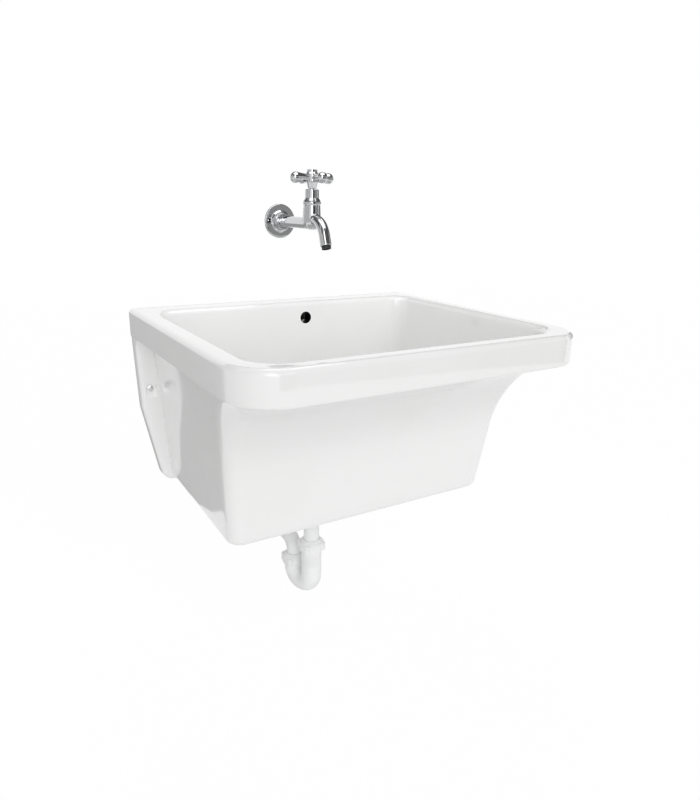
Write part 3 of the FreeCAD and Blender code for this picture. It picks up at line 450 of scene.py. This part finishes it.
def arc_points(before: Vector, corner: Vector, after: Vector, radius: float, steps: int) -> list[Vector]:
    """Points round a corner of a polyline.

    Args:
        before: point before the corner.
        corner: the corner.
        after: point after it.
        radius: radius of the rounding.
        steps: number of segments.

    Returns:
        steps + 1 points from one tangent point to the other, or the corner alone for radius 0.
    """
    if radius <= 0:
        return [corner]
    back, ahead = (before - corner).normalized(), (after - corner).normalized()
    half = back.angle(ahead) / 2
    if abs(half - math.pi / 2) < 1e-4:
        return [corner]
    middle = corner + (back + ahead).normalized() * (radius / math.sin(half))
    start = corner + back * (radius / math.tan(half)) - middle
    end = corner + ahead * (radius / math.tan(half)) - middle
    turn = start.angle(end)
    points = []
    for i in range(steps + 1):
        share = i / steps
        weight = math.sin(turn)
        points.append(middle + start * (math.sin((1 - share) * turn) / weight) + end * (math.sin(share * turn) / weight))
    return points


def turned(profile: Profile, centre: Vector, axis: Vector = Vector((0, 0, 1)), sides: int = 96) -> Shape:
    """Solid of revolution with rounded corners.

    Args:
        profile: (radius, height, rounding) points from one end of the axis to the other, closed on
            themselves where neither end is on the axis.
        centre: the profile's zero height.
        axis: direction of the axis.
        sides: number of sides.

    Returns:
        The closed shape.
    """
    flat = [Vector((radius, 0, height)) for radius, height, _ in profile]
    open_ends = flat[0].x < 1e-6 and flat[-1].x < 1e-6
    line: list[Vector] = []
    for i, point in enumerate(flat):
        if open_ends and i in (0, len(flat) - 1):
            line.append(point)
        else:
            line += arc_points(flat[i - 1], point, flat[(i + 1) % len(flat)], profile[i][2], 5)
    spin = Vector((0, 0, 1)).rotation_difference(axis).to_matrix()
    shape = Shape()
    rings = []
    for point in line:
        if point.x < 1e-6:
            rings.append(shape.ring([centre + spin @ point]))
            continue
        angles = [2 * math.pi * i / sides for i in range(sides)]
        rings.append(shape.ring(centre + spin @ Vector((point.x * math.cos(a), point.x * math.sin(a), point.z))
                                for a in angles))
    pairs = list(zip(rings, rings[1:])) + ([] if open_ends else [(rings[-1], rings[0])])
    for low, high in pairs:
        if len(low) == 1 and len(high) == 1:
            continue
        if len(low) == 1 or len(high) == 1:
            ring, pole = (high, low[0]) if len(low) == 1 else (low, high[0])
            for i, point in enumerate(ring):
                shape.faces.append((point, ring[(i + 1) % len(ring)], pole))
        else:
            shape.bridge(low, high)
    return shape


def swept(path: Sequence[Vector], radii: Sequence[float], sides: int = 64, bore: float = 0.0) -> Shape:
    """Round bar or pipe along a path that lies in one plane.

    Args:
        path: points of the centre line.
        radii: outer radius at each point.
        sides: number of sides.
        bore: inner radius, 0 for a bar.

    Returns:
        The closed shape.
    """
    plane = Vector((0, 0, 1))
    for i in range(1, len(path) - 1):
        bend = (path[i] - path[i - 1]).cross(path[i + 1] - path[i])
        if bend.length > 1e-6:
            plane = bend.normalized()
            break
    else:
        plane = (path[1] - path[0]).orthogonal().normalized()
    shape = Shape()
    outer, inner = [], []
    for i, point in enumerate(path):
        along = (path[min(i + 1, len(path) - 1)] - path[max(i - 1, 0)]).normalized()
        across = plane.cross(along).normalized()
        for rings, radius in ((outer, radii[i]), (inner, bore)):
            if radius:
                rings.append(shape.ring(point + (plane * math.cos(a) + across * math.sin(a)) * radius
                                        for a in (2 * math.pi * k / sides for k in range(sides))))
    for rings in (outer, inner):
        for low, high in zip(rings, rings[1:]):
            shape.bridge(low, high)
    if inner:
        shape.bridge(outer[0], inner[0])
        shape.bridge(outer[-1], inner[-1])
    else:
        shape.fan(outer[0], path[0], True)
        shape.fan(outer[-1], path[-1], False)
    return shape


def box_shape(low: Vector, high: Vector) -> Shape:
    """Plain block."""
    shape = Shape()
    rings = []
    for z in (low.z, high.z):
        rings.append(shape.ring([Vector((low.x, low.y, z)), Vector((high.x, low.y, z)),
                                 Vector((high.x, high.y, z)), Vector((low.x, high.y, z))]))
    shape.bridge(rings[0], rings[1])
    shape.faces += [tuple(rings[0]), tuple(rings[1])]
    return shape


def dress(piece: bpy.types.Object, finish: Finish, body: str, nodes: Sequence[str]) -> bpy.types.Object:
    """Gives a piece its finish and its place in the frame.

    Args:
        piece: the object.
        finish: its material.
        body: the CAD body that it rides on.
        nodes: the CAD nodes that it stands for.

    Returns:
        The same object.
    """
    piece.data.materials.clear()
    piece.data.materials.append(finish.material())
    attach(piece, body)
    if nodes:
        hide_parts(*nodes)
    LOG.info("%s: %d faces, %s", piece.name, len(piece.data.polygons), finish.name)
    return piece


# ---- basin ---------------------------------------------------------------------------------
@dataclass
class Basin:
    """The ceramic: rim band, coved body, bowl and the plate on the wall."""

    width: float = 600.0
    depth: float = 524.5
    top: float = 147.0
    height: float = 330.0
    rim: float = 51.0
    rim_corner: float = 72.0
    back_corner: float = 1.5
    plate_back: float = 0.2
    plate_spare: float = 0.4
    top_round: float = 9.0
    low_round: float = 4.0
    land_side: float = 35.0
    land_front: float = 34.0
    land_back: float = 50.0
    mouth_round: float = 10.0
    side_base: float = 46.4
    front_base: float = 178.0
    side_slope: float = 0.08
    front_slope: float = 0.139
    back_taper: float = 8.0
    cove: float = 146.0
    cove_lip: float = 5.0
    body_corner: float = 22.0
    base_round: float = 14.0
    floor_thick: float = 26.0
    wall: float = 22.0
    side_draft: float = 0.08
    back_draft: float = 0.03
    bowl_round: float = 32.0
    bowl_front_corner: float = 58.0
    bowl_back_corner: float = 34.0
    blend: int = 7
    fall: float = 3.0
    fall_reach: float = 46.0
    drain_back: float = 138.0
    drain: float = 23.0
    seat: float = 33.0
    seat_deep: float = 3.5
    plate: float = 25.0
    head_inset: float = 0.5
    knee_inset: float = 6.5
    plate_round: float = 8.0
    knee: float = 183.0
    foot_inset: float = 38.0
    foot_drop: float = 6.0
    foot_round: float = 26.0
    knee_round: float = 40.0
    fixing_inset: float = 24.0
    fixing: float = 5.5
    recess: float = 10.0
    recess_deep: float = 8.0
    recess_run: float = 16.0
    gusset: float = 24.0
    gusset_round: float = 6.0
    gusset_inset: float = 2.0
    gusset_width: float = 50.0
    hollow_deep: float = 32.0
    hollow_top: float = 62.0
    hollow_sill: float = 33.0
    hollow_inset: float = 72.0
    hollow_round: float = 30.0
    web: float = 44.0
    overflow_x: float = 31.5
    overflow_drop: float = 31.5
    overflow: float = 11.5
    duct: float = 9.0
    duct_behind: float = 26.0
    duct_foot: float = 60.0
    corner_steps: int = 14
    side_steps: int = 24

    @property
    def under(self) -> float:
        """Height of the underside."""
        return self.top - self.height

    @property
    def rim_under(self) -> float:
        """Height of the rim's lower edge."""
        return self.top - self.rim

    @property
    def floor(self) -> float:
        """Height of the bowl's floor."""
        return self.under + self.floor_thick

    def outline(self, corners: Sequence[tuple[float, float]], radii: Sequence[float], z: float) -> list[Vector]:
        """Closed ring with a fixed number of points, round corners and divided sides.

        Args:
            corners: plan corners.
            radii: plan radius of each.
            z: height.

        Returns:
            The ring's points.
        """
        flat = [Vector((x, y, z)) for x, y in corners]
        arcs = []
        for i, corner in enumerate(flat):
            radius = max(radii[i], 0.5)
            arcs.append(arc_points(flat[i - 1], corner, flat[(i + 1) % len(flat)], radius, self.corner_steps))
        ring: list[Vector] = []
        for i, arc in enumerate(arcs):
            ring += arc
            after = arcs[(i + 1) % len(arcs)][0]
            ring += [arc[-1].lerp(after, k / self.side_steps) for k in range(1, self.side_steps)]
        return ring

    def round_in(self, radius: float, distance: float) -> float:
        """Inset of a rounded edge at a distance from the face it runs into."""
        short = max(0.0, radius - distance)
        return radius - math.sqrt(radius ** 2 - short ** 2)

    def cove_out(self, z: float, inset: float) -> float:
        """How far the cove stands out of the body's wall at a height."""
        reach = inset - self.cove_lip
        radius = (reach ** 2 + self.cove ** 2) / (2 * reach)
        climb = max(0.0, z - self.rim_under + self.cove)
        return radius - math.sqrt(radius ** 2 - climb ** 2)

    def side_inset(self, z: float) -> float:
        """Rim side to the body's straight side."""
        return self.side_base - self.side_slope * (z - self.under)

    def front_inset(self, z: float) -> float:
        """Rim front to the body's front, cove included."""
        at_rim = self.front_base - self.front_slope * (self.rim_under - self.under)
        return self.front_base - self.front_slope * (z - self.under) - self.cove_out(z, at_rim)

    def body_ring(self, z: float) -> list[Vector]:
        """Ring of the body's outside at a height."""
        inset = self.round_in(self.base_round, z - self.under)
        climb = max(0.0, z - self.rim_under + self.cove) / self.cove
        corner = self.body_corner + (self.rim_corner - self.cove_lip - self.body_corner) * climb ** 3
        back = self.width / 2 - self.side_inset(z) - self.back_taper - inset
        front = self.width / 2 - self.side_inset(z) + self.cove_out(z, self.side_inset(self.rim_under)) - inset
        near = self.front_inset(z) + inset - self.depth
        corners = ((-back, -1.0), (-front, near), (front, near), (back, -1.0))
        return self.outline(corners, (1, corner, corner, 1), z)

    def rim_ring(self, z: float, inset: float) -> list[Vector]:
        """Ring of the rim's outside at a height, drawn in by an inset."""
        half = self.width / 2 - inset
        corners = ((-half, -min(inset, 1.0)), (-half, inset - self.depth), (half, inset - self.depth),
                   (half, -min(inset, 1.0)))
        front, back = self.rim_corner - inset, self.back_corner - inset
        return self.outline(corners, (back, front, front, back), z)

    def bowl_ring(self, z: float) -> list[Vector]:
        """Ring of the bowl's inside at a height."""
        deep = self.top - z
        inset = self.round_in(self.bowl_round, z - self.floor) - self.round_in(self.mouth_round, deep)
        taper = self.back_taper * deep / self.height
        half = self.width / 2 - self.land_side - self.side_draft * deep - inset
        slope = self.front_inset(min(z, self.rim_under)) + self.wall
        near = (self.land_front ** self.blend + slope ** self.blend) ** (1 / self.blend) + inset - self.depth
        far = -self.land_back - self.back_draft * deep - inset
        corners = ((taper - half, far), (-half, near), (half, near), (half - taper, far))
        radii = (self.bowl_back_corner, self.bowl_front_corner, self.bowl_front_corner, self.bowl_back_corner)
        return self.outline(corners, radii, z)

    def round_ring(self, like: Sequence[Vector], radius: float, z: float) -> list[Vector]:
        """Circle about the drain with a point in the direction of each point of another ring."""
        ring = []
        for point in like:
            way = Vector((point.x, point.y + self.drain_back, 0)).normalized()
            ring.append(Vector((0, -self.drain_back, z)) + way * radius)
        return ring

    def shell(self) -> bpy.types.Object:
        """Body, rim and bowl as one closed skin."""
        shape = Shape()
        rings = []
        for i in range(9):
            rings.append(self.body_ring(self.under + self.base_round * (1 - math.cos(math.pi / 16 * i))))
        start = self.rim_under - self.cove
        rings += [self.body_ring(self.under + self.base_round + (start - self.under - self.base_round) * i / 6)
                  for i in range(1, 7)]
        rings += [self.body_ring(start + self.cove * i / 28) for i in range(1, 29)]
        for i in range(7):
            angle = math.pi / 12 * i
            rings.append(self.rim_ring(self.rim_under + self.low_round * (1 - math.cos(angle)),
                                       self.low_round * (1 - math.sin(angle))))
        rings.append(self.rim_ring(self.top - self.rim / 2, 0))
        for i in range(11):
            angle = math.pi / 20 * i
            rings.append(self.rim_ring(self.top - self.top_round * (1 - math.sin(angle)),
                                       self.top_round * (1 - math.cos(angle))))
        for i in range(11):
            rings.append(self.bowl_ring(self.top - self.mouth_round * (1 - math.cos(math.pi / 20 * i))))
        low, high = self.floor + self.bowl_round, self.top - self.mouth_round
        rings += [self.bowl_ring(high + (low - high) * i / 30) for i in range(1, 31)]
        for i in range(1, 13):
            rings.append(self.bowl_ring(self.floor + self.bowl_round * (1 - math.sin(math.pi / 24 * i))))
        last = rings[-1]
        for share in (0.3, 0.6):
            circle = self.round_ring(last, self.fall_reach, self.floor)
            rings.append([a.lerp(b, share) for a, b in zip(last, circle)])
        seat = -self.fall - self.seat_deep
        middle = (self.fall_reach + self.seat) / 2
        for radius, z in ((self.fall_reach, 0), (middle, -self.fall / 2), (self.seat + 0.6, 0.1 - self.fall),
                          (self.seat, -self.fall - 0.6), (self.seat, seat), (self.drain + 1, seat),
                          (self.drain, seat - 1)):
            rings.append(self.round_ring(last, radius, self.floor + z))
        rings.append(self.round_ring(last, self.drain, self.under))
        numbered = [shape.ring(ring) for ring in rings]
        for a, b in zip(numbered, numbered[1:] + numbered[:1]):
            shape.bridge(a, b)
        return shape.piece("basin_shell", 50.0)

    def plate_line(self, inset: float) -> list[Vector]:
        """Outline of the wall plate, drawn in by an inset.

        Args:
            inset: distance inside the plate's edge.

        Returns:
            The same number of points for every inset.
        """
        half = self.width / 2
        head, knee, foot = self.top - self.rim / 2, self.top - self.knee, self.under - self.foot_drop
        right = ((half - self.foot_inset, foot), (half - self.knee_inset, knee), (half - self.head_inset, head))
        left = tuple((-x, z) for x, z in reversed(right))
        flat = [Vector((x, 0, z)) for x, z in left + right]
        radii = (0.5, self.knee_round, self.foot_round, self.foot_round, self.knee_round, 0.5)
        drawn_in = []
        for i, corner in enumerate(flat):
            back = (flat[i - 1] - corner).normalized()
            ahead = (flat[(i + 1) % len(flat)] - corner).normalized()
            drawn_in.append(corner + (back + ahead).normalized() * (inset / math.sin(back.angle(ahead) / 2)))
        line: list[Vector] = []
        for i, corner in enumerate(drawn_in):
            radius = max(radii[i] - inset, 0.3)
            line += arc_points(drawn_in[i - 1], corner, drawn_in[(i + 1) % len(flat)], radius, 14)
        return line

    def plate_blank(self) -> bpy.types.Object:
        """The wall plate before its holes are cut, its front edges rounded."""
        shape = Shape()
        rings = [shape.ring(point - Vector((0, self.plate_back, 0)) for point in self.plate_line(0))]
        for i in range(9):
            angle = math.pi / 16 * i
            back = Vector((0, self.plate - self.plate_round * (1 - math.sin(angle)), 0))
            inset = self.plate_round * (1 - math.cos(angle))
            rings.append(shape.ring(point - back for point in self.plate_line(inset)))
        for low, high in zip(rings, rings[1:]):
            shape.bridge(low, high)
        shape.faces += [tuple(rings[0]), tuple(rings[-1])]
        return shape.piece("wall_plate", 50.0)

    def gusset_piece(self, side: int) -> bpy.types.Object:
        """Hollow rounding between the plate's face and the rim's underside.

        Args:
            side: -1 for the left end, 1 for the right.

        Returns:
            The gusset, its outer edge rounded.
        """
        face, level = -self.plate, self.rim_under
        outer = self.width / 2 - self.gusset_inset
        shape = Shape()
        steps = [(math.pi / 16 * i) for i in range(9)]
        stations = [(outer - self.gusset_round * (1 - math.sin(a)), self.gusset_round * (1 - math.cos(a)))
                    for a in reversed(steps)]
        stations.append((outer - self.gusset_width, 0.0))
        rings = []
        for x, inset in stations:
            radius = self.gusset + inset
            line = []
            for i in range(17):
                angle = math.pi / 32 * i
                line.append(Vector((side * x, face - self.gusset + radius * math.sin(angle),
                                    level - self.gusset + radius * math.cos(angle))))
            line.append(Vector((side * x, face + 12, line[-1].z)))
            line.append(Vector((side * x, face + 12, level + 12)))
            line.append(Vector((side * x, line[0].y, level + 12)))
            rings.append(shape.ring(line))
        for low, high in zip(rings, rings[1:]):
            shape.bridge(low, high)
        shape.faces += [tuple(rings[0]), tuple(rings[-1])]
        return shape.piece("gusset_left" if side < 0 else "gusset_right", 50.0)

    def hollows(self, spare: float = 0.0) -> list[bpy.types.Object]:
        """Cutters for the two hollows in the back.

        Args:
            spare: how much wider they are cut all round.

        Returns:
            The cutters.
        """
        cutters = []
        side = self.width / 2 - self.hollow_inset
        low, high = self.under + self.hollow_sill, self.top - self.hollow_top
        for name, first, last in (("left", -side, self.overflow_x - self.web / 2),
                                  ("right", self.overflow_x + self.web / 2, side)):
            flat = [Vector((x, 0, z)) for x, z in ((first, low), (last, low), (last, high), (first, high))]
            line: list[Vector] = []
            for i, corner in enumerate(flat):
                line += arc_points(flat[i - 1], corner, flat[(i + 1) % 4], self.hollow_round, 10)
            middle = sum(flat, Vector()) / 4
            line = [point + Vector((math.copysign(spare, point.x - middle.x), 0,
                                    math.copysign(spare, point.z - middle.z))) for point in line]
            shape = Shape()
            mouth = shape.ring(point + Vector((0, 5, 0)) for point in line)
            end = shape.ring(point - Vector((0, self.hollow_deep, 0)) for point in line)
            shape.bridge(mouth, end)
            shape.faces += [tuple(mouth), tuple(end)]
            cutters.append(shape.piece("hollow_" + name))
        return cutters

    def fixing_cutters(self) -> list[bpy.types.Object]:
        """Cutters for the two wall holes and their arched recesses."""
        cutters = []
        for side in (-1, 1):
            x = side * (self.width / 2 - self.fixing_inset)
            face = -self.plate
            bolt = swept([Vector((x, 5, 0)), Vector((x, face - 5, 0))], [self.fixing] * 2, 48)
            cutters.append(bolt.piece(f"bolt_{side}"))
            line = [Vector((x + self.recess, 0, -self.recess_run))]
            for i in range(33):
                angle = math.pi * i / 32
                line.append(Vector((x + self.recess * math.cos(angle), 0, self.recess * math.sin(angle))))
            line.append(Vector((x - self.recess, 0, -self.recess_run)))
            steep = self.recess_deep / (self.recess + self.recess_run)
            shape = Shape()
            mouth = shape.ring(point + Vector((0, face - 5, 0)) for point in line)
            end = shape.ring(point + Vector((0, face + 0.01 + steep * (point.z + self.recess_run), 0))
                             for point in line)
            shape.bridge(mouth, end)
            shape.faces += [tuple(mouth), tuple(end)]
            cutters.append(shape.piece(f"arch_{side}"))
        return cutters

    def build(self) -> None:
        """Makes and dresses the shell and the plate."""
        mouth = Vector((self.overflow_x, -self.duct_behind, self.top - self.overflow_drop))
        front = mouth - Vector((0, 2 * self.land_back, 0))
        foot = Vector((mouth.x, mouth.y, self.under + self.duct_foot))
        bore = swept([mouth, front], [self.overflow] * 2, 64).piece("overflow_bore")
        duct = swept([foot, mouth], [self.duct] * 2, 48).piece("overflow_duct")
        shell = cut(self.shell(), [bore, duct] + self.hollows(), 1.2)
        dress(shell, Finish.glazed_ceramic, SINK, ["basin"])
        plate = cut(self.plate_blank(), self.fixing_cutters() + self.hollows(self.plate_spare), 0.8)
        dress(plate, Finish.glazed_ceramic, SINK, ["basin"])
        for side in (-1, 1):
            dress(self.gusset_piece(side), Finish.glazed_ceramic, SINK, ["basin"])


# ---- tap -----------------------------------------------------------------------------------
@dataclass
class Tap:
    """The tap's casting: arm, barrel and spout in one, with soft inner corners."""

    reach: float = 133.5
    level: float = 298.8
    arm: float = 10.5
    relief: float = 9.4
    relief_length: float = 3.0
    inlet: float = 10.48
    inlet_length: float = 15.0
    thread_pitch: float = 1.8
    thread_depth: float = 0.5
    barrel: float = 16.6
    barrel_top: float = 15.1
    barrel_down: float = 10.6
    collar_up: float = 33.0
    collar: float = 16.2
    collar_height: float = 5.0
    chamber: float = 11.0
    seat_up: float = 9.0
    spout_up: float = 6.2
    spout_straight: float = 12.2
    spout_bend: float = 36.0
    spout_turn: float = 71.0
    spout_tip: float = 18.5
    spout: float = 10.1
    insert: float = 8.7
    insert_deep: float = 7.5
    grain: float = 0.6
    plate: float = 32.0
    plate_edge: float = 4.6
    plate_wall: float = 1.6
    ferrule: float = 15.5
    ferrule_foot: float = 9.0
    ferrule_length: float = 11.0
    ferrule_gap: float = 0.2

    def on_axis(self, up: float) -> Vector:
        """Point on the valve's axis."""
        return Vector((0, -self.reach, self.level + up))

    def spout_line(self, back: float = 0.0) -> list[Vector]:
        """Centre line of the spout.

        Args:
            back: how far inside the barrel it starts behind the valve's axis.

        Returns:
            Points from the valve's axis to the tip.
        """
        start = self.on_axis(self.spout_up)
        line = [start + Vector((0, back, 0)), start + Vector((0, -self.spout_straight, 0))]
        corner = line[-1]
        for i in range(1, 25):
            angle = math.radians(self.spout_turn) * i / 24
            line.append(corner + Vector((0, -math.sin(angle), math.cos(angle) - 1)) * self.spout_bend)
        angle = math.radians(self.spout_turn)
        line.append(line[-1] + Vector((0, -math.cos(angle), -math.sin(angle))) * self.spout_tip)
        return line

    def melted(self) -> bpy.types.Object:
        """Arm, barrel and spout melted together, hollow where the valve and the insert sit."""
        wide = 14.0 - self.barrel_down
        shape = swept([Vector((0, -self.relief_length - 6, self.level)), self.on_axis(0)], [self.arm] * 2)
        shape.join(turned(((0, -self.barrel_down, 0), (self.barrel, -self.barrel_down, 13), (self.barrel, wide, 0),
                           (self.barrel_top, self.collar_up - 1, 0), (0, self.collar_up - 1, 0)), self.on_axis(0)))
        line = self.spout_line()
        shape.join(swept(line, [self.spout] * len(line)))
        melted = cast(shape, "tap_casting", self.grain, 16)
        chamber = swept([self.on_axis(self.seat_up), self.on_axis(self.collar_up + 5)], [self.chamber] * 2)
        along = (line[-1] - line[-2]).normalized()
        mouth = swept([line[-1] - along * self.insert_deep, line[-1] + along * 5], [self.insert] * 2)
        return cut(melted, [chamber.piece("chamber"), mouth.piece("mouth")])

    def thread_profile(self) -> list[tuple[float, float, float]]:
        """Inlet thread as fine grooves, then the relief and the arm's root."""
        points = [(self.insert, -self.inlet_length - self.relief_length, 0.0)]
        level = -self.inlet_length - self.relief_length
        points.append((self.inlet - self.thread_depth, level, 0.0))
        while level + self.thread_pitch < -self.relief_length:
            points.append((self.inlet, level + self.thread_pitch / 2, 0.15))
            points.append((self.inlet - self.thread_depth, level + self.thread_pitch, 0.15))
            level += self.thread_pitch
        points += [(self.relief, -self.relief_length, 0.2), (self.relief, 0.0, 0.2), (self.arm, 0.0, 0.3),
                   (self.arm, 8.0, 0.0), (self.insert, 8.0, 0.0)]
        return points

    def wall_plate(self) -> Shape:
        """Flat round plate on the wall with a rounded edge and a stepped ring round the arm."""
        inner, wall, edge = self.arm + self.ferrule_gap, self.plate_wall, self.plate_edge
        top = self.ferrule_foot + self.ferrule_length
        profile = ((self.plate - wall, 0, 0.3), (self.plate, 0, 0.3), (self.plate, edge, 2.0),
                   (self.plate - 3 * wall, edge + 0.4, 1.5), (self.ferrule + 3 * wall, edge + 0.9, 1.5),
                   (self.ferrule + wall, self.ferrule_foot, 0.8), (self.ferrule, self.ferrule_foot, 0.3),
                   (self.ferrule, top, 1.2), (inner, top, 0.2), (inner, edge - wall, 0.2),
                   (self.plate - wall, edge - wall, 0.6))
        return turned(profile, Vector((0, 0, self.level)), Vector((0, -1, 0)))

    def build(self) -> None:
        """Makes and dresses the plate, the casting, its collar and its inlet."""
        dress(self.wall_plate().piece("tap_wall_plate", 30.0), Finish.chromed_brass, SINK, ["tap_escutcheon"])
        dress(self.melted(), Finish.chromed_brass, SINK, ["tap_body"])
        top = self.collar_up + self.collar_height
        ring = turned(((self.chamber, self.collar_up - 2, 0), (self.barrel_top - 0.3, self.collar_up - 2, 0.4),
                       (self.barrel_top, self.collar_up, 0.6), (self.collar, self.collar_up + 0.8, 0.6),
                       (self.collar, top - 0.8, 0.7), (self.collar - 0.9, top, 0.3), (self.chamber, top, 0.2)),
                      self.on_axis(0))
        dress(ring.piece("tap_collar", 30.0), Finish.chromed_brass, SINK, ["tap_body"])
        root = turned(self.thread_profile(), Vector((0, -self.relief_length, self.level)), Vector((0, -1, 0)))
        dress(root.piece("tap_inlet", 30.0), Finish.chromed_brass, SINK, ["tap_body"])


# ---- stage ---------------------------------------------------------------------------------
@dataclass
class Studio:
    """Camera, lamps, floor, the white surroundings and grey cards that paint reflections."""

    place: tuple[float, float, float] = (-0.56935, -1.18984, 0.33596)
    yaw: float = 0.5551
    pitch: float = 0.3101
    roll: float = 0.0233
    focal_px: float = 645.57
    centre_px: tuple[float, float] = (348.42, 409.58)
    frame_px: tuple[int, int] = (700, 800)
    sensor: float = 36.0
    floor_level: float = -0.7
    ambient: float = 0.56
    sun: float = 1.2
    sun_spread: float = 55.0
    bowl_light: float = 1.4
    floor_glow: float = 1.06
    floor_hold: float = 0.85

    def camera(self) -> None:
        """Sets the camera at the photograph's viewing angle."""
        data = bpy.data.cameras.new("camera")
        data.sensor_width = self.sensor
        data.lens = self.focal_px / self.frame_px[1] * self.sensor
        data.shift_x = (self.frame_px[0] / 2 - self.centre_px[0]) / self.frame_px[1]
        data.shift_y = (self.centre_px[1] - self.frame_px[1] / 2) / self.frame_px[1]
        made = bpy.data.objects.new("camera", data)
        bpy.context.scene.collection.objects.link(made)
        ahead = Vector((math.sin(self.yaw) * math.cos(self.pitch), math.cos(self.yaw) * math.cos(self.pitch),
                        -math.sin(self.pitch)))
        right = Vector((math.cos(self.yaw), -math.sin(self.yaw), 0))
        up = right.cross(ahead)
        rolled_right = right * math.cos(self.roll) + up * math.sin(self.roll)
        rolled_up = up * math.cos(self.roll) - right * math.sin(self.roll)
        turn = Matrix((rolled_right, rolled_up, -ahead)).transposed()
        made.matrix_world = Matrix.Translation(Vector(self.place)) @ turn.to_4x4()
        bpy.context.scene.camera = made

    def key(self) -> None:
        """Broad soft key from the front right and above."""
        data = bpy.data.lights.new("key", "SUN")
        data.energy = self.sun
        data.angle = math.radians(self.sun_spread)
        made = bpy.data.objects.new("key", data)
        bpy.context.scene.collection.objects.link(made)
        made.matrix_world = Vector((-0.18, -0.9, 0.36)).to_track_quat("Z", "Y").to_matrix().to_4x4()

    def overhead(self) -> None:
        """Soft panel over the bowl."""
        data = bpy.data.lights.new("overhead", "AREA")
        data.energy = self.bowl_light
        data.size = 0.5
        made = bpy.data.objects.new("overhead", data)
        bpy.context.scene.collection.objects.link(made)
        made.location = (-0.02, -0.25, 0.8)

    def card(self, name: str, azimuth: float, width: float, low: float, high: float, tone: float,
             reach: float = 2600.0, closing: float = 1.0) -> None:
        """Glowing grey card that only polished surfaces see: a painted reflection that lights nothing and gives
        them dark and grey bands.

        Args:
            name: the card's name.
            azimuth: direction from the tap, in degrees from +X.
            width: the angle that it covers, in degrees.
            low: height of its lower edge, in metres.
            high: height of its upper edge, in metres.
            tone: its brightness.
            reach: distance of its lower edge, in millimetres.
            closing: how far the upper edge stands out, as a share of the reach.
        """
        shape = Shape()
        rings = []
        for z, out in ((low, reach), (high, reach * closing)):
            angles = [math.radians(azimuth + width * (i / 12 - 0.5)) for i in range(13)]
            rings.append(shape.ring(Vector((out * math.cos(a), out * math.sin(a), z / METRE)) for a in angles))
        for i in range(12):
            shape.faces.append((rings[0][i], rings[0][i + 1], rings[1][i + 1], rings[1][i]))
        made = shape.piece(name)
        material = bpy.data.materials.new(name)
        material.use_nodes = True
        graph = Graph(material.node_tree)
        # the card glows with its tone though it is no lamp: painted reflection only
        glow = graph.node("ShaderNodeEmission", {}, {"Color": (tone, tone, tone, 1), "Strength": 1.0})
        graph.node("ShaderNodeOutputMaterial", {}, {"Surface": glow})
        made.data.materials.append(material)
        made.visible_camera = made.visible_diffuse = made.visible_shadow = made.visible_transmission = False

    def surroundings(self) -> None:
        """White world for the eye and for reflections, softer for the light that it gives."""
        world = bpy.data.worlds.new("studio")
        world.use_nodes = True
        bpy.context.scene.world = world
        graph = Graph(world.node_tree)
        path = self.seen(graph)
        back = graph.node("ShaderNodeBackground", {}, {"Color": (1, 1, 1, 1),
                                                       "Strength": path * (1 - self.ambient) + self.ambient})
        graph.node("ShaderNodeOutputWorld", {}, {"Surface": back})

    def seen(self, graph: Graph) -> Socket:
        """1 for rays from the eye, off metal or through glass, else 0."""
        camera = graph.node("ShaderNodeLightPath", {}, {}, "Is Camera Ray")
        glossy = graph.node("ShaderNodeLightPath", {}, {}, "Is Glossy Ray")
        through = graph.node("ShaderNodeLightPath", {}, {}, "Is Transmission Ray")
        total = camera + glossy + through
        return graph.node("ShaderNodeMath", {"operation": "MINIMUM"}, {0: total, 1: 1.0})

    def floor(self) -> None:
        """Pale floor that keeps a soft shadow."""
        shape = Shape()
        corners = shape.ring([Vector((x, y, self.floor_level / METRE)) for x, y in
                              ((-6000, -6000), (6000, -6000), (6000, 6000), (-6000, 6000))])
        shape.faces.append(tuple(corners))
        made = shape.piece("floor")
        material = bpy.data.materials.new("floor")
        material.use_nodes = True
        graph = Graph(material.node_tree)
        matt = graph.node("ShaderNodeBsdfDiffuse", {}, {"Color": (0.9, 0.9, 0.9, 1)})
        glow = graph.node("ShaderNodeEmission", {}, {"Color": (1, 1, 1, 1), "Strength": self.floor_glow})
        mixed = graph.node("ShaderNodeMixShader", {}, {0: self.seen(graph) * self.floor_hold, 1: matt, 2: glow})
        graph.node("ShaderNodeOutputMaterial", {}, {"Surface": mixed})
        made.data.materials.append(material)

    def build(self) -> None:
        """Sets the whole stage."""
        self.camera()
        self.surroundings()
        self.floor()
        self.key()
        self.overhead()
        # glowing grey cards seen only in reflections: painted reflections that give the chrome its dark bands and
        # the glaze faint ones
        self.card("card_left", 168, 90, -0.2, 1.1, 0.62)
        self.card("card_dark", -92, 26, -0.5, 1.1, 0.02)
        self.card("card_front", -52, 54, -0.5, 1.1, 0.34)
        self.card("card_right", 2, 34, -0.2, 1.1, 0.16)
        self.card("card_low", 125, 90, -0.7, 0.12, 0.42, 850.0)
        self.card("hood_back", 90, 70, 1.95, 3.4, 0.12)
        self.card("hood_side", 149, 48, 1.2, 3.4, 0.12)
        self.card("hood_right", -28, 166, 1.2, 3.4, 0.12)
        self.card("hood_left", -159, 40, 1.2, 3.4, 0.2)
        self.card("hood_top", 0, 360, 3.4, 3.4, 0.3, 2600.0, 0.01)
        bpy.context.scene.view_settings.view_transform = "Standard"


def dress_nodes() -> None:
    """Gives every CAD node the finish of its material slot."""
    for part in frame["record"]["subparts"]:
        node = frame["nodes"][part["node"]]
        finish = Finish[part["material_slot"]]
        node.data.materials.clear()
        node.data.materials.append(finish.material())
        LOG.info("node %s: %s", part["node"], finish.name)


def main() -> None:
    """Builds the stage and every sub-assembly in order."""
    logging.basicConfig(level=logging.INFO, format="%(message)s")
    dress_nodes()
    Basin().build()
    Tap().build()
    Studio().build()


if __name__ == "__main__":
    main()
